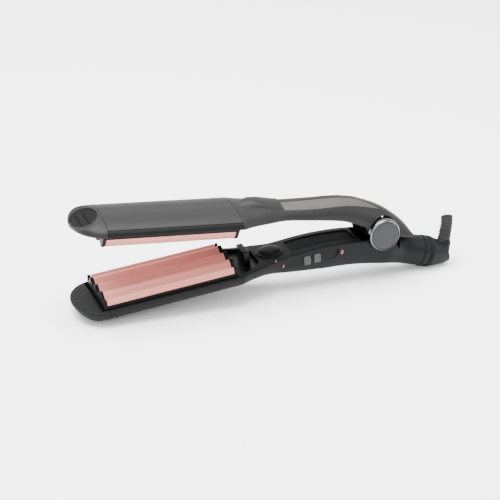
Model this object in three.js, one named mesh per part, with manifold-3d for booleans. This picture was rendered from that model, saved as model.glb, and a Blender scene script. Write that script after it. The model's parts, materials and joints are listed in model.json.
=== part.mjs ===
// Hair crimper: two hinged arms with heated, corrugated plates, a temperature dial, a sliding
// mains switch and a swivelling cable entry. Sizes are in millimetres.
//
// Each arm is drawn in its own frame: x runs from the tip end of the plate towards the cable,
// y across the arm, and z from the plate's base plane towards the other arm. The upper arm is
// turned over to face the lower one, opened about the hinge, and both are then tilted so that
// the lower arm lies on its tip and its tail collar.
import * as THREE from "three";
import { mergeVertices } from "three/addons/utils/BufferGeometryUtils.js";
import Module from "manifold-3d";

const wasm = await Module();
wasm.setup();

// ---------------------------------------------------------------- driving dimensions
const gap = 0.3; // clearance between pieces that touch
const wall = 2; // thickness of the moulded shells
const degree = Math.PI / 180;

const plateLength = 90;
const plateMargin = 4; // from the plate's side to the barrel's side
const wavePitch = 11.7; // distance between two crests
const waveCrest = 6.2;
const waveValley = 1;
const closedGap = 2; // between the corrugated faces when the arms are closed
const openAngle = 10.8 * degree;

const barrelHalf = 26;
const lowerDepth = 14.9; // of the barrels, below the plate's base plane
const upperDepth = 11.5;
const rimLevel = -2; // the casing's edge, below the plate's base plane
const waistDrop = 1.6; // from the rim to the casing's widest level
const splitLevel = -7; // seam between the frame and the outer cover
const rimWall = 2.2; // side wall of the frame around the plate carrier
const tipReach = 19.8; // how far the tip stands out in front of the plate
const tipNose = 1.8; // height of the nose below the rim
const tipRun = 18; // length along the arm of the tip's slanting flat
const padLong = 9.2; // half the length and half the width of the oval pad on that flat
const padWide = 13.4;
const padThick = 1;
const inlayThick = 0.9;

const carrierWall = 4;
const carrierDepth = 5.9;
const carrierMargin = 0.4; // by which the carrier is wider than the plate on each side
const capThick = 2.3; // end caps of the plates
const heaterMargin = 15; // from the heater's side to the plate's side
const heaterThick = 1.7;

const handleHalf = 14.6;
const neckLength = 36; // over which the arm narrows to the handle
const postLength = 15.5;
const postThick = 4.5;
const postHeight = 6.3;
const dialRadius = 6.9;
const bezelWidth = 3;
const dialHeight = 0.9;

const slotLength = 34;
const slotTop = -4.6;
const slotHeight = 7.2;
const sliderLength = 23.5;

const panelLength = 49;
const panelHalf = 8.8;
const panelThick = 1.6;
const panelSunk = 1.2;

const bendLength = 78; // over which the lower handle curves down
const bendAngle = 21 * degree;
const tailRadius = 11;
const tailLength = 13; // straight end of the lower handle
const collarLength = 7.4;
const collarRadius = 11.4;
const swivelLength = 17.5;
const reliefRadius = 4.6;
const reliefSeat = 9.9; // from the swivel's axis to the seat that the strain relief stands on
const reliefLength = 17;
const reliefPlace = 12.2; // along the swivel cap
const reliefLean = 12 * degree;
const cordBore = 1.9;

const hingeLevel = -2.85;
const discRadius = 11.7;
const discThick = 4.2;
const discGap = 0.7; // ring-shaped gap around the hinge discs
const hubRadius = 8.4;
const cheekRim = 1.2; // from the outer face of the hinge's cheeks to the handle's side
const knuckleHalf = 6.8;
const pinRadius = 2.8;
const springRadius = 6.2;
const springHalf = 2.2;

// ---------------------------------------------------------------- sizes that follow from others
const plateHalf = barrelHalf - plateMargin;
const carrierHalf = plateHalf + carrierMargin;
const heaterHalf = plateHalf - heaterMargin;
const plateSpacing = waveCrest + waveValley + closedGap; // between the plates' base planes when closed
const axisLevel = plateSpacing - hingeLevel; // of the hinge, in the upper arm's frame
const bezelRadius = dialRadius + bezelWidth;
const cheekEnd = handleHalf - cheekRim;
const switchDepth = handleHalf - 4.7; // inner face of the switch's slider

// ---------------------------------------------------------------- places along the arms
const neckStart = plateLength + 4;
const postPlace = neckStart + 10.3;
const recessEnd = neckStart + 18.4;
const dialPlace = recessEnd + bezelRadius + 1.3;
const gripStart = neckStart + neckLength;
const slotStart = gripStart + 3;
const panelStart = gripStart + 7;
const panelEnd = panelStart + panelLength;
const bendStart = gripStart + 20;
const bendEnd = bendStart + bendLength;
const hingePlace = bendEnd - 23.5;
const tailEnd = bendEnd + tailLength;
const hoodEnd = hingePlace + 26.5; // end of the upper handle, over the lower one's tail

// ---------------------------------------------------------------- arm shapes
// Each line is [place along the arm, value]; smooth() joins the points by a smooth curve.
const lowerShape = {
  half: [
    [neckStart, barrelHalf],
    [neckStart + 8, barrelHalf - 3.4],
    [neckStart + 21, handleHalf + 4],
    [gripStart, handleHalf + 0.3],
    [bendStart, handleHalf],
    [hingePlace + 6, handleHalf],
    [bendEnd, tailRadius],
    [tailEnd + 1, tailRadius],
  ],
  inner: [
    [neckStart, rimLevel],
    [dialPlace + bezelRadius - 9.5, rimLevel],
    [bendStart, rimLevel + 0.9],
    [hingePlace, rimLevel + 0.9],
    [bendEnd, rimLevel + 1.5],
    [tailEnd + 1, rimLevel + 1.6],
  ],
  outer: [
    [neckStart, -lowerDepth],
    [neckStart + 18, -lowerDepth],
    [gripStart, -18.4],
    [bendStart, -21.8],
    [bendStart + 18, -23.4],
    [hingePlace, -23.4],
    [bendEnd, -22.5],
    [tailEnd + 1, -22.4],
  ],
  round: [
    [neckStart, 0],
    [hingePlace - 10, 0],
    [bendEnd, 1],
    [tailEnd + 1, 1],
  ],
};
const upperShape = {
  half: [
    [neckStart, barrelHalf],
    [neckStart + 8, barrelHalf - 3.4],
    [neckStart + 21, handleHalf + 4],
    [gripStart, handleHalf + 0.3],
    [bendStart, handleHalf],
    [hingePlace + 8, handleHalf],
    [hoodEnd - 7, handleHalf - 0.7],
    [hoodEnd, handleHalf - 2.2],
  ],
  inner: [
    [neckStart, rimLevel],
    [neckStart + 32, rimLevel],
    [bendStart, -0.8],
    [hingePlace - 33.5, 1],
    [hingePlace - 21.5, 4.2],
    [hingePlace - 9.5, 8.4],
    [hingePlace + 3, 12.5],
    [hoodEnd - 15, 15.4],
    [hoodEnd - 7, 16.8],
    [hoodEnd, 17.4],
  ],
  outer: [
    [neckStart, -upperDepth],
    [neckStart + 16, -upperDepth - 0.1],
    [gripStart, -upperDepth + 0.5],
    [bendStart, -upperDepth],
    [hingePlace - 33.5, -12.4],
    [hingePlace - 21.5, -11.4],
    [hingePlace - 11.5, -8.9],
    [hingePlace + 3, -3.4],
    [hoodEnd - 15, 1.6],
    [hoodEnd - 8, 6.6],
    [hoodEnd - 3, 11.6],
    [hoodEnd, 15.6],
  ],
  round: [
    [neckStart, 0],
    [hoodEnd, 0],
  ],
};

function smooth(points, x) {
  const last = points.length - 1;
  if (x <= points[0][0]) return points[0][1];
  if (x >= points[last][0]) return points[last][1];
  const i = points.findIndex((p) => p[0] > x) - 1;
  const slope = (a, b) => (points[b][1] - points[a][1]) / (points[b][0] - points[a][0]);
  const tangent = (k) => {
    if (k === 0 || k === last) return 0;
    const before = slope(k - 1, k);
    const after = slope(k, k + 1);
    return before * after <= 0 ? 0 : (2 * before * after) / (before + after);
  };
  const span = points[i + 1][0] - points[i][0];
  const t = (x - points[i][0]) / span;
  const rise = t * t * (3 - 2 * t);
  const bendIn = t * (1 - t) * (1 - t) * span * tangent(i);
  const bendOut = t * t * (t - 1) * span * tangent(i + 1);
  return points[i][1] + (points[i + 1][1] - points[i][1]) * rise + bendIn + bendOut;
}

// The lower handle's centre line: straight, then an arc, then straight again.
function bentLine(x) {
  const radius = (bendEnd - bendStart) / Math.sin(bendAngle);
  if (x <= bendStart) return { z: 0, tilt: 0 };
  if (x <= bendEnd) {
    const tilt = Math.asin((x - bendStart) / radius);
    return { z: -radius * (1 - Math.cos(tilt)), tilt };
  }
  const drop = radius * (1 - Math.cos(bendAngle));
  return { z: -drop - (x - bendEnd) * Math.tan(bendAngle), tilt: bendAngle };
}

const straightLine = () => ({ z: 0, tilt: 0 });

// A point at a station, y across and h above the centre line.
function onLine(line, x, y, h) {
  const { z, tilt } = line(x);
  return new THREE.Vector3(x + h * Math.sin(tilt), y, z + h * Math.cos(tilt));
}

// A closed ring around an arm: half an upper and half a lower superellipse about the waist,
// the lower one cut off flat at the outer level.
function sectionRing(line, x, shape, inset, sides) {
  const half = shape.half - inset;
  const inner = shape.inner - inset;
  const outer = shape.outer + inset;
  const middle = (inner + outer) / 2;
  const waist = THREE.MathUtils.lerp(inner - waistDrop, middle, shape.round);
  const upPower = THREE.MathUtils.lerp(5, 2, shape.round);
  const overshoot = THREE.MathUtils.lerp(1.02, 1, shape.round);
  return Array.from({ length: sides }, (_, k) => {
    const angle = (2 * Math.PI * (k + 0.5)) / sides;
    const up = Math.sin(angle) > 0;
    const power = up ? upPower : 2;
    const c = Math.cos(angle);
    const s = Math.abs(Math.sin(angle));
    const y = half * Math.sign(c) * Math.abs(c) ** (2 / power);
    const rise = s ** (2 / power);
    const h = up ? waist + (inner - waist) * rise : waist - (waist - outer) * overshoot * rise;
    return onLine(line, x, y, Math.max(h, outer));
  });
}

function shapeAt(table, x) {
  return {
    half: smooth(table.half, x),
    inner: smooth(table.inner, x),
    outer: smooth(table.outer, x),
    round: smooth(table.round, x),
  };
}

// ---------------------------------------------------------------- solids
function toSolid(geometry) {
  const bare = new THREE.BufferGeometry();
  const source = geometry.index ? geometry.toNonIndexed() : geometry;
  bare.setAttribute("position", source.getAttribute("position"));
  const merged = mergeVertices(bare, 1e-4);
  const vertProperties = merged.attributes.position.array;
  const triVerts = new Uint32Array(merged.index.array);
  return new wasm.Manifold(new wasm.Mesh({ numProp: 3, vertProperties, triVerts }));
}

function toGeometry(solid) {
  const mesh = solid.getMesh();
  const geometry = new THREE.BufferGeometry();
  geometry.setAttribute("position", new THREE.BufferAttribute(mesh.vertProperties.slice(), 3));
  geometry.setIndex(new THREE.BufferAttribute(mesh.triVerts.slice(), 1));
  return geometry;
}

const join = (first, ...others) => others.reduce((sum, s) => sum.add(s), first);
const cut = (first, ...others) => others.reduce((left, s) => left.subtract(s), first);
const common = (first, second) => first.intersect(second);

// A closed skin over rings that have the same number of points, with flat ends.
function loft(rings) {
  const sides = rings[0].length;
  const positions = [];
  const triangle = (...corners) => corners.forEach((p) => positions.push(p.x, p.y, p.z));
  const centre = (ring) => {
    const sum = new THREE.Vector3();
    ring.forEach((p) => sum.add(p));
    return sum.divideScalar(sides);
  };
  const first = rings[0];
  const last = rings[rings.length - 1];
  const firstCentre = centre(first);
  const lastCentre = centre(last);
  for (let k = 0; k < sides; k++) {
    const n = (k + 1) % sides;
    for (let i = 0; i + 1 < rings.length; i++) {
      triangle(rings[i][k], rings[i + 1][k], rings[i + 1][n]);
      triangle(rings[i][k], rings[i + 1][n], rings[i][n]);
    }
    triangle(firstCentre, first[k], first[n]);
    triangle(lastCentre, last[n], last[k]);
  }
  const geometry = new THREE.BufferGeometry();
  geometry.setAttribute("position", new THREE.Float32BufferAttribute(positions, 3));
  const solid = toSolid(geometry);
  return solid.volume() > 0 ? solid : flip(geometry);
}

function flip(geometry) {
  const p = geometry.getAttribute("position");
  for (let i = 0; i < p.count; i += 3) {
    const b = new THREE.Vector3().fromBufferAttribute(p, i + 1);
    const c = new THREE.Vector3().fromBufferAttribute(p, i + 2);
    p.setXYZ(i + 1, c.x, c.y, c.z);
    p.setXYZ(i + 2, b.x, b.y, b.z);
  }
  return toSolid(geometry);
}

function block(x0, x1, y0, y1, z0, z1) {
  const geometry = new THREE.BoxGeometry(x1 - x0, y1 - y0, z1 - z0);
  geometry.translate((x0 + x1) / 2, (y0 + y1) / 2, (z0 + z1) / 2);
  return toSolid(geometry);
}

// A block that is symmetric across the arm.
const slab = (x0, x1, half, z0, z1) => block(x0, x1, -half, half, z0, z1);

// A bar of rectangular section that follows an arm's centre line.
function bar(line, x0, x1, y0, y1, h0, h1) {
  const steps = Math.max(1, Math.round((x1 - x0) / 12));
  const rings = Array.from({ length: steps + 1 }, (_, i) => {
    const x = x0 + ((x1 - x0) * i) / steps;
    const corner = (y, h) => onLine(line, x, y, h);
    return [corner(y0, h0), corner(y1, h0), corner(y1, h1), corner(y0, h1)];
  });
  return loft(rings);
}

// A round rod across the arm, from y0 to y1.
function rod(radius, y0, y1, x, z, sides = 36) {
  const geometry = new THREE.CylinderGeometry(radius, radius, y1 - y0, sides);
  geometry.translate(x, (y0 + y1) / 2, z);
  return toSolid(geometry);
}

// A round rod that stands upright, from z0 to z1.
function post(radius, z0, z1, x, y, sides = 36) {
  const geometry = new THREE.CylinderGeometry(radius, radius, z1 - z0, sides);
  geometry.rotateX(Math.PI / 2);
  geometry.translate(x, y, (z0 + z1) / 2);
  return toSolid(geometry);
}

// A profile of [radius, height] pairs turned about the upright axis.
function turned(profile, sides = 32) {
  const geometry = new THREE.LatheGeometry(
    profile.map(([r, h]) => new THREE.Vector2(r, h)),
    sides,
  );
  geometry.rotateX(Math.PI / 2);
  const solid = toSolid(geometry);
  return solid.volume() > 0 ? solid : flip(geometry.index ? geometry.toNonIndexed() : geometry);
}

// An outline in plan, extruded from z0 to z1.
function prism(shape, z0, z1, curveSegments = 6) {
  const geometry = new THREE.ExtrudeGeometry(shape, {
    depth: z1 - z0,
    bevelEnabled: false,
    curveSegments,
  });
  geometry.translate(0, 0, z0);
  return toSolid(geometry);
}

// ---------------------------------------------------------------- finishes
const finish = (color, roughness, metalness) => ({ color, roughness, metalness });
const charcoal = finish(0x3c3c40, 0.42, 0);
const black = finish(0x141318, 0.3, 0);
const glossBlack = finish(0x0c0b10, 0.12, 0);
const rubber = finish(0x232326, 0.8, 0);
const blush = finish(0xd9a8a4, 0.38, 0.3);
const silverGrey = finish(0x76767a, 0.35, 0.4);
const chrome = finish(0xd0d0d4, 0.12, 1);
const steel = finish(0xa8a8ac, 0.3, 1);
const ceramic = finish(0xe8e4dc, 0.6, 0);
const boardGreen = finish(0x1f5a36, 0.6, 0);
const lampRed = finish(0xd8d4d0, 0.15, 0);
const inlayGrey = finish(0x6f6f6c, 0.5, 0);

function addPiece(group, name, solid, look) {
  const mesh = new THREE.Mesh(toGeometry(solid), new THREE.MeshStandardMaterial(look));
  mesh.name = name;
  group.add(mesh);
  return mesh;
}

// ---------------------------------------------------------------- tip, barrel and plates
const barrelSides = 32;
const tubLevel = -carrierDepth - gap; // floor of the frame that the plate carrier lies in
const depthOf = { lower: lowerDepth, upper: upperDepth };
const flatSlope = (depth) => (depth + rimLevel - tipNose) / tipRun;
const barrelShape = (depth) => ({ half: barrelHalf, inner: rimLevel, outer: -depth, round: 0 });

function barrelSolid(x0, x1, depth, inset) {
  const ring = (x) => sectionRing(straightLine, x, barrelShape(depth), inset, barrelSides);
  return loft([ring(x0), ring(x1)]);
}

// The tip's outline in plan is a long superellipse; its outer side is cut off by a slanting flat.
function tipSolid(depth, inset) {
  const reach = tipReach - inset;
  const stations = [0.995, 0.95, 0.84, 0.68, 0.5, 0.3, 0.12].map((f) => -reach * f);
  stations.push(-gap / 2);
  const rings = stations.map((x) => {
    const width = (1 - (-x / reach) ** 2.2) ** 0.5;
    const shape = { ...barrelShape(depth), half: barrelHalf * width };
    const facet = rimLevel - tipNose - flatSlope(depth) * (x + tipReach) + inset;
    const ring = sectionRing(straightLine, x, shape, inset * width, barrelSides);
    ring.forEach((p) => (p.z = Math.max(p.z, Math.min(facet, rimLevel - 1))));
    return ring;
  });
  return loft(rings);
}

// The slanting oval on the tip: a flat pad that lies in a pocket of the same outline.
function padPrism(slope, grow, depth) {
  const oval = new THREE.Shape();
  const above = 4;
  const middle = tipRun * 0.52;
  oval.absellipse(0, 0, padLong + grow, padWide + grow, 0, 2 * Math.PI);
  const geometry = new THREE.ExtrudeGeometry(oval, {
    depth: depth + above,
    bevelEnabled: false,
    curveSegments: 12,
  });
  geometry.translate(0, 0, -above);
  geometry.rotateY(Math.atan(slope));
  geometry.translate(-tipReach + middle, 0, rimLevel - tipNose - slope * middle);
  return toSolid(geometry);
}

function addTip(group, side) {
  const depth = depthOf[side];
  const slope = flatSlope(depth);
  const padGap = 0.25;
  const whole = tipSolid(depth, 0);
  const recess = slab(-capThick - 2.5, 1, barrelHalf - rimWall, tubLevel, 5);
  const pocket = common(padPrism(slope, padGap, padThick + padGap), tipSolid(depth, -3));
  addPiece(group, side + "_tip_cap", cut(whole, recess, pocket), charcoal);
  const pad = common(padPrism(slope, 0, padThick), whole);
  addPiece(group, side + "_tip_pad", pad, rubber);
}

function addBarrel(group, side) {
  const depth = depthOf[side];
  const start = gap / 2;
  const end = neckStart - gap;
  const outerSkin = barrelSolid(start, end, depth, 0);
  const below = slab(start - 1, end + 1, barrelHalf + 1, -40, splitLevel - gap / 2);
  const above = slab(start - 1, end + 1, barrelHalf + 1, splitLevel + gap / 2, 5);
  const cover = cut(common(outerSkin, below), barrelSolid(start - 1, end + 1, depth, wall));
  addPiece(group, side + "_barrel_cover", cover, charcoal);
  const floor = common(
    barrelSolid(start, end, depth, wall + gap),
    slab(start - 1, end + 1, barrelHalf, tubLevel - 2.2, tubLevel - 0.4),
  );
  const tub = slab(start - 1, end + 1, barrelHalf - rimWall, tubLevel, 5);
  const frame = cut(join(common(outerSkin, above), floor), tub);
  addPiece(group, side + "_barrel_frame", frame, black);
}

// Height of the corrugated face. The upper plate's crests stand over the lower plate's valleys.
function waveHeight(y, phase) {
  const swing = (1 + Math.cos((2 * Math.PI * y) / wavePitch + phase)) / 2;
  return waveValley + (waveCrest - waveValley) * swing;
}

function waveOutline(phase, half, base, grow) {
  const steps = 40;
  const edge = half - 1.3;
  const outline = new THREE.Shape();
  outline.moveTo(-half, base);
  for (let i = 0; i <= steps; i++) {
    const y = -edge + (2 * edge * i) / steps;
    outline.lineTo(y, waveHeight(y, phase) + grow);
  }
  outline.lineTo(half, base);
  return outline;
}

function wavePrism(outline, x0, x1) {
  const geometry = new THREE.ExtrudeGeometry(outline, { depth: x1 - x0, bevelEnabled: false });
  geometry.rotateX(Math.PI / 2);
  geometry.rotateZ(Math.PI / 2);
  geometry.translate(x0, 0, 0);
  return toSolid(geometry);
}

function addPlate(group, side, phase) {
  const seatLevel = -1.6;
  const seat = slab(8, plateLength - 8, plateHalf - 7, seatLevel, 0.5);
  const plate = join(wavePrism(waveOutline(phase, plateHalf, 0, 0), 0, plateLength), seat);
  addPiece(group, side + "_crimp_plate", plate, blush);
  const capShape = () => waveOutline(phase, plateHalf, 0, 0.35);
  addPiece(group, side + "_plate_cap_front", wavePrism(capShape(), -gap - capThick, -gap), black);
  const capStart = plateLength + gap;
  addPiece(group, side + "_plate_cap_rear", wavePrism(capShape(), capStart, capStart + capThick), black);

  const carrierEnd = capThick + gap;
  const body = slab(-carrierEnd, plateLength + carrierEnd, carrierHalf, -carrierDepth, -gap);
  const floor = -carrierDepth + 1;
  const cavity = slab(carrierWall, plateLength - carrierWall, carrierHalf - 4, floor, 5);
  const leadHole = slab(plateLength - 8, plateLength + 10, 4, floor + 0.6, -1.8);
  addPiece(group, side + "_plate_carrier", cut(body, cavity, leadHole), black);

  const heaterTop = seatLevel - gap;
  const heaterFoot = heaterTop - heaterThick;
  const heater = slab(12, plateLength - 14, heaterHalf, heaterFoot, heaterTop);
  addPiece(group, side + "_heater", heater, ceramic);
  const clampTop = heaterFoot - gap / 2;
  const clampFoot = floor + gap / 2;
  const clamp = slab(20, plateLength - 22, heaterHalf + 3, clampFoot, clampTop);
  addPiece(group, side + "_heater_clamp", clamp, steel);
  const fuse = block(24, 42, heaterHalf + 3.8, heaterHalf + 7.2, floor + gap, -2);
  addPiece(group, side + "_thermal_fuse", fuse, steel);
}

// ---------------------------------------------------------------- handles
const armSides = 28;
const recessLevel = -5;
const trayThick = 1.6; // of the neck covers
const recessFloor = recessLevel - trayThick - gap;

function armSolid(line, table, stations, inset) {
  return loft(stations.map((x) => sectionRing(line, x, shapeAt(table, x), inset, armSides)));
}

function spread(from, to, count) {
  return Array.from({ length: count }, (_, i) => from + ((to - from) * i) / (count - 1));
}

// The opening that the plate carrier and the neck cover lie in: rounded towards the handle.
function recessOutline(start, inset) {
  const half = barrelHalf - rimWall - 2.3 - inset;
  const end = recessEnd - inset;
  const outline = new THREE.Shape();
  outline.moveTo(start, -half);
  outline.bezierCurveTo(neckStart + 7, -half + 1.3, end - 2, -half + 7, end, -8);
  outline.lineTo(end, 8);
  outline.bezierCurveTo(end - 2, half - 7, neckStart + 7, half - 1.3, start, half);
  return outline;
}

function addNeckCover(group, side, withPost) {
  const tray = prism(recessOutline(neckStart, gap), recessLevel - trayThick, recessLevel);
  const half = postThick / 2;
  const guide = slab(postPlace - half, postPlace + half, postLength / 2, recessLevel - 1, postHeight);
  const room = 1.2; // around the post when the arms are closed
  const pocketHalf = half + room;
  const pocket = slab(
    postPlace - pocketHalf,
    postPlace + pocketHalf,
    postLength / 2 + room,
    recessLevel - 0.8,
    5,
  );
  addPiece(group, side + "_neck_cover", withPost ? join(tray, guide) : cut(tray, pocket), glossBlack);
}

function addPanel(group, side, line, table, x0, x1) {
  const level = (x) => smooth(table.inner, x);
  const strip = (inset, from, to) => {
    const stations = spread(x0 + inset, x1 - inset, 7);
    const rings = stations.map((x) => {
      const corner = (y, h) => onLine(line, x, y, level(x) + h);
      const half = panelHalf - inset;
      return [corner(-half, from), corner(half, from), corner(half, to), corner(-half, to)];
    });
    return loft(rings);
  };
  const panel = strip(gap, -panelThick - panelSunk, -panelSunk);
  addPiece(group, side + "_handle_panel", panel, rubber);
  return strip(0, -wall - 6, 6);
}

// The ring-shaped clearance that both shells keep around a hinge disc.
function discPocket(x, z, innerFace) {
  const radius = discRadius + discGap;
  return join(rod(radius, innerFace, 40, x, z, 48), rod(radius, -40, -innerFace, x, z, 48));
}

function lowerHandleShell(panelCut) {
  const outerStations = [
    ...spread(neckStart, gripStart, 7),
    ...spread(gripStart + 10, hingePlace, 7),
    ...spread(hingePlace + 6, bendEnd, 4),
    tailEnd,
  ];
  const innerStations = [neckStart - 1, ...outerStations.slice(1, -1), tailEnd + 2];
  const skin = armSolid(bentLine, lowerShape, outerStations, 0);
  const core = armSolid(bentLine, lowerShape, outerStations, wall / 2);
  const hollow = armSolid(bentLine, lowerShape, innerStations, wall);
  const recess = prism(recessOutline(neckStart - 1, 0), recessFloor, 6);
  const slotHalf = cheekEnd - 0.7;
  const slotReach = hubRadius + 6.6;
  const hingeSlot = bar(bentLine, hingePlace - slotReach - 1, hingePlace + slotReach, -slotHalf, slotHalf, -10, 8);
  const knobHole = post(dialRadius + 0.5, -8, 6, dialPlace, 0);
  const slotBottom = slotTop - slotHeight;
  const slot = block(slotStart, slotStart + slotLength, -40, -switchDepth + 0.4, slotBottom, slotTop);
  const lampHole = rod(1.5, -40, -switchDepth + 0.9, slotStart - 2.6, (slotTop + slotBottom) / 2, 16);
  const cheek = (side) => {
    const near = side > 0 ? knuckleHalf + 0.5 : -cheekEnd;
    const far = side > 0 ? cheekEnd : -knuckleHalf - 0.5;
    const hub = rod(hubRadius, near, far, hingePlace, hingeLevel);
    const web = block(hingePlace - 6.5, hingePlace + 6.5, near, far, -24, hingeLevel - 3);
    return join(hub, common(web, core));
  };
  const pinBore = rod(pinRadius + gap, -30, 30, hingePlace, hingeLevel, 24);
  const open = cut(skin, hollow, recess, panelCut, hingeSlot, knobHole, slot, lampHole);
  const full = join(open, cheek(1), cheek(-1));
  return cut(full, pinBore, discPocket(hingePlace, hingeLevel, cheekEnd));
}

function addLowerHandle(group) {
  const panelCut = addPanel(group, "lower", bentLine, lowerShape, panelStart, panelEnd);
  addPiece(group, "lower_handle_shell", lowerHandleShell(panelCut), charcoal);
  addNeckCover(group, "lower", true);
}

// The raised finger rest behind the barrel and the leaf-shaped grip inlay lie on the outer side.
function restSolid() {
  const stations = [4, 9, 14, 20, 27, 34].map((x) => neckStart + x);
  const lift = [0, 1.9, 3.2, 2.7, 1.7, 0];
  const rings = stations.map((x, i) => {
    const half = 4.5 + 3.2 * Math.sin((Math.PI * i) / 5);
    const foot = smooth(upperShape.outer, x) + 3;
    const crown = smooth(upperShape.outer, x) - lift[i] + 0.2;
    return spread(0, Math.PI, 9).map(
      (a) => new THREE.Vector3(x, half * Math.cos(a), foot + (crown - foot) * Math.sin(a)),
    );
  });
  return loft(rings);
}

function leafOutline(inset) {
  const outline = new THREE.Shape();
  const start = gripStart + inset;
  const end = hingePlace - 1.5 - inset;
  outline.moveTo(start, 0.6 + inset);
  const side = handleHalf - 4.2 - inset;
  outline.lineTo(start - 0.8, side);
  outline.bezierCurveTo(bendStart, side + 1.2, end - 18, side, end, 6.5);
  outline.bezierCurveTo(end - 13, 1.6 + inset, bendStart + 10, 0.4 + inset, start, 0.6 + inset);
  return outline;
}

const hoodStart = hingePlace - 16.5;
const upperStations = [
  ...spread(neckStart, gripStart, 7),
  ...spread(gripStart + 16, hoodStart, 4),
  hoodStart + 10,
  hoodStart + 20,
  ...[15, 8, 3, 0].map((back) => hoodEnd - back),
];

function upperHandleShell(panelCut, skin, leafCut) {
  const hollowStations = [neckStart - 1, ...upperStations.slice(1).filter((x) => x <= hoodStart)];
  const hollow = armSolid(straightLine, upperShape, hollowStations, wall);
  // Behind the grip the shell is a hood, open towards the lower arm.
  const hoodStations = [...upperStations.filter((x) => x >= hoodStart && x < hoodEnd), hoodEnd - wall];
  const hoodRings = hoodStations.map((x) => {
    const shape = shapeAt(upperShape, x);
    const ring = sectionRing(straightLine, x, shape, wall, armSides);
    const waist = shape.inner - wall - waistDrop;
    ring.filter((p) => p.z > waist).forEach((p) => (p.z = 40));
    return ring;
  });
  const recess = prism(recessOutline(neckStart - 1, 0), recessFloor, 6);
  const hub = rod(hubRadius, -knuckleHalf, knuckleHalf, hingePlace, axisLevel);
  const core = armSolid(straightLine, upperShape, upperStations, wall / 2);
  const web = common(slab(hingePlace - 14, hingePlace + 2, 5.4, -12, axisLevel), core);
  const springRoom = rod(hubRadius + 4, -springHalf - 0.5, springHalf + 0.5, hingePlace, axisLevel);
  const knuckle = cut(join(hub, web), springRoom);
  const pinBore = rod(pinRadius + gap, -30, 30, hingePlace, axisLevel, 24);
  const open = cut(skin, hollow, loft(hoodRings), recess, panelCut);
  const full = cut(join(open, knuckle, restSolid()), leafCut);
  return cut(full, pinBore, discPocket(hingePlace, axisLevel, knuckleHalf + 0.5));
}

function addUpperHandle(group) {
  const skin = armSolid(straightLine, upperShape, upperStations, 0);
  const core = (depth) => armSolid(straightLine, upperShape, upperStations, depth);
  const leafCut = cut(prism(leafOutline(0), -30, -4), core(inlayThick + gap));
  const leaf = common(cut(skin, core(inlayThick)), prism(leafOutline(gap), -30, -4));
  const panelCut = addPanel(group, "upper", straightLine, upperShape, panelStart, panelEnd - 8);
  addPiece(group, "upper_handle_shell", upperHandleShell(panelCut, skin, leafCut), charcoal);
  addPiece(group, "grip_inlay", leaf, inlayGrey);
  addNeckCover(group, "upper", false);
}

// ---------------------------------------------------------------- controls
function addDial(group) {
  const bezelFoot = rimLevel + 0.35;
  const bezelTop = -1;
  const inner = dialRadius + gap;
  const bezel = turned([
    [inner, bezelFoot],
    [bezelRadius, bezelFoot],
    [bezelRadius - 0.8, bezelTop - 0.2],
    [inner + 0.5, bezelTop],
    [inner, bezelTop - 0.2],
    [inner, bezelFoot],
  ]);
  addPiece(group, "dial_bezel", bezel.translate(dialPlace, 0, 0), black);
  const shaftFoot = -8;
  const knob = turned([
    [0, shaftFoot],
    [2.4, shaftFoot],
    [2.4, rimLevel - 0.6],
    [dialRadius - 0.2, rimLevel - 0.6],
    [dialRadius, dialHeight - 1],
    [dialRadius - 1, dialHeight - 0.2],
    [dialRadius - 2.6, dialHeight],
    [0, dialHeight],
  ]);
  addPiece(group, "dial_knob", knob.translate(dialPlace, 0, 0), charcoal);
  const potTop = shaftFoot - gap;
  const pot = slab(dialPlace - 5, dialPlace + 5, 5, potTop - 3, potTop);
  addPiece(group, "dial_potentiometer", pot, steel);
}

function addSwitch(group) {
  const foot = slotTop - slotHeight + gap;
  const top = slotTop - gap;
  const start = slotStart + gap;
  const end = start + sliderLength;
  const faceY = -handleHalf + 1;
  const slider = block(start, end, faceY, -switchDepth, foot, top);
  addPiece(group, "switch_slider", slider, black);
  const grips = [start + 10, start + 17.6];
  ["front", "rear"].forEach((word, i) => {
    const grip = block(grips[i], grips[i] + 5, faceY - 1.8, faceY - gap, foot + 0.2, top - 0.2);
    addPiece(group, "switch_grip_" + word, grip, silverGrey);
  });
  const innerFace = -switchDepth + gap;
  const body = block(start + 2, start + 28, innerFace, innerFace + 5, foot, top - 1);
  addPiece(group, "slide_switch", body, steel);
  const middle = (foot + top) / 2;
  addPiece(group, "indicator_lens", rod(1.2, -handleHalf + 0.2, innerFace, slotStart - 2.6, middle, 16), lampRed);
  const board = slab(slotStart + 1, slotStart + slotLength + 10, 3.6, -14.6, -13);
  addPiece(group, "control_board", board, boardGreen);
}

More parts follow.
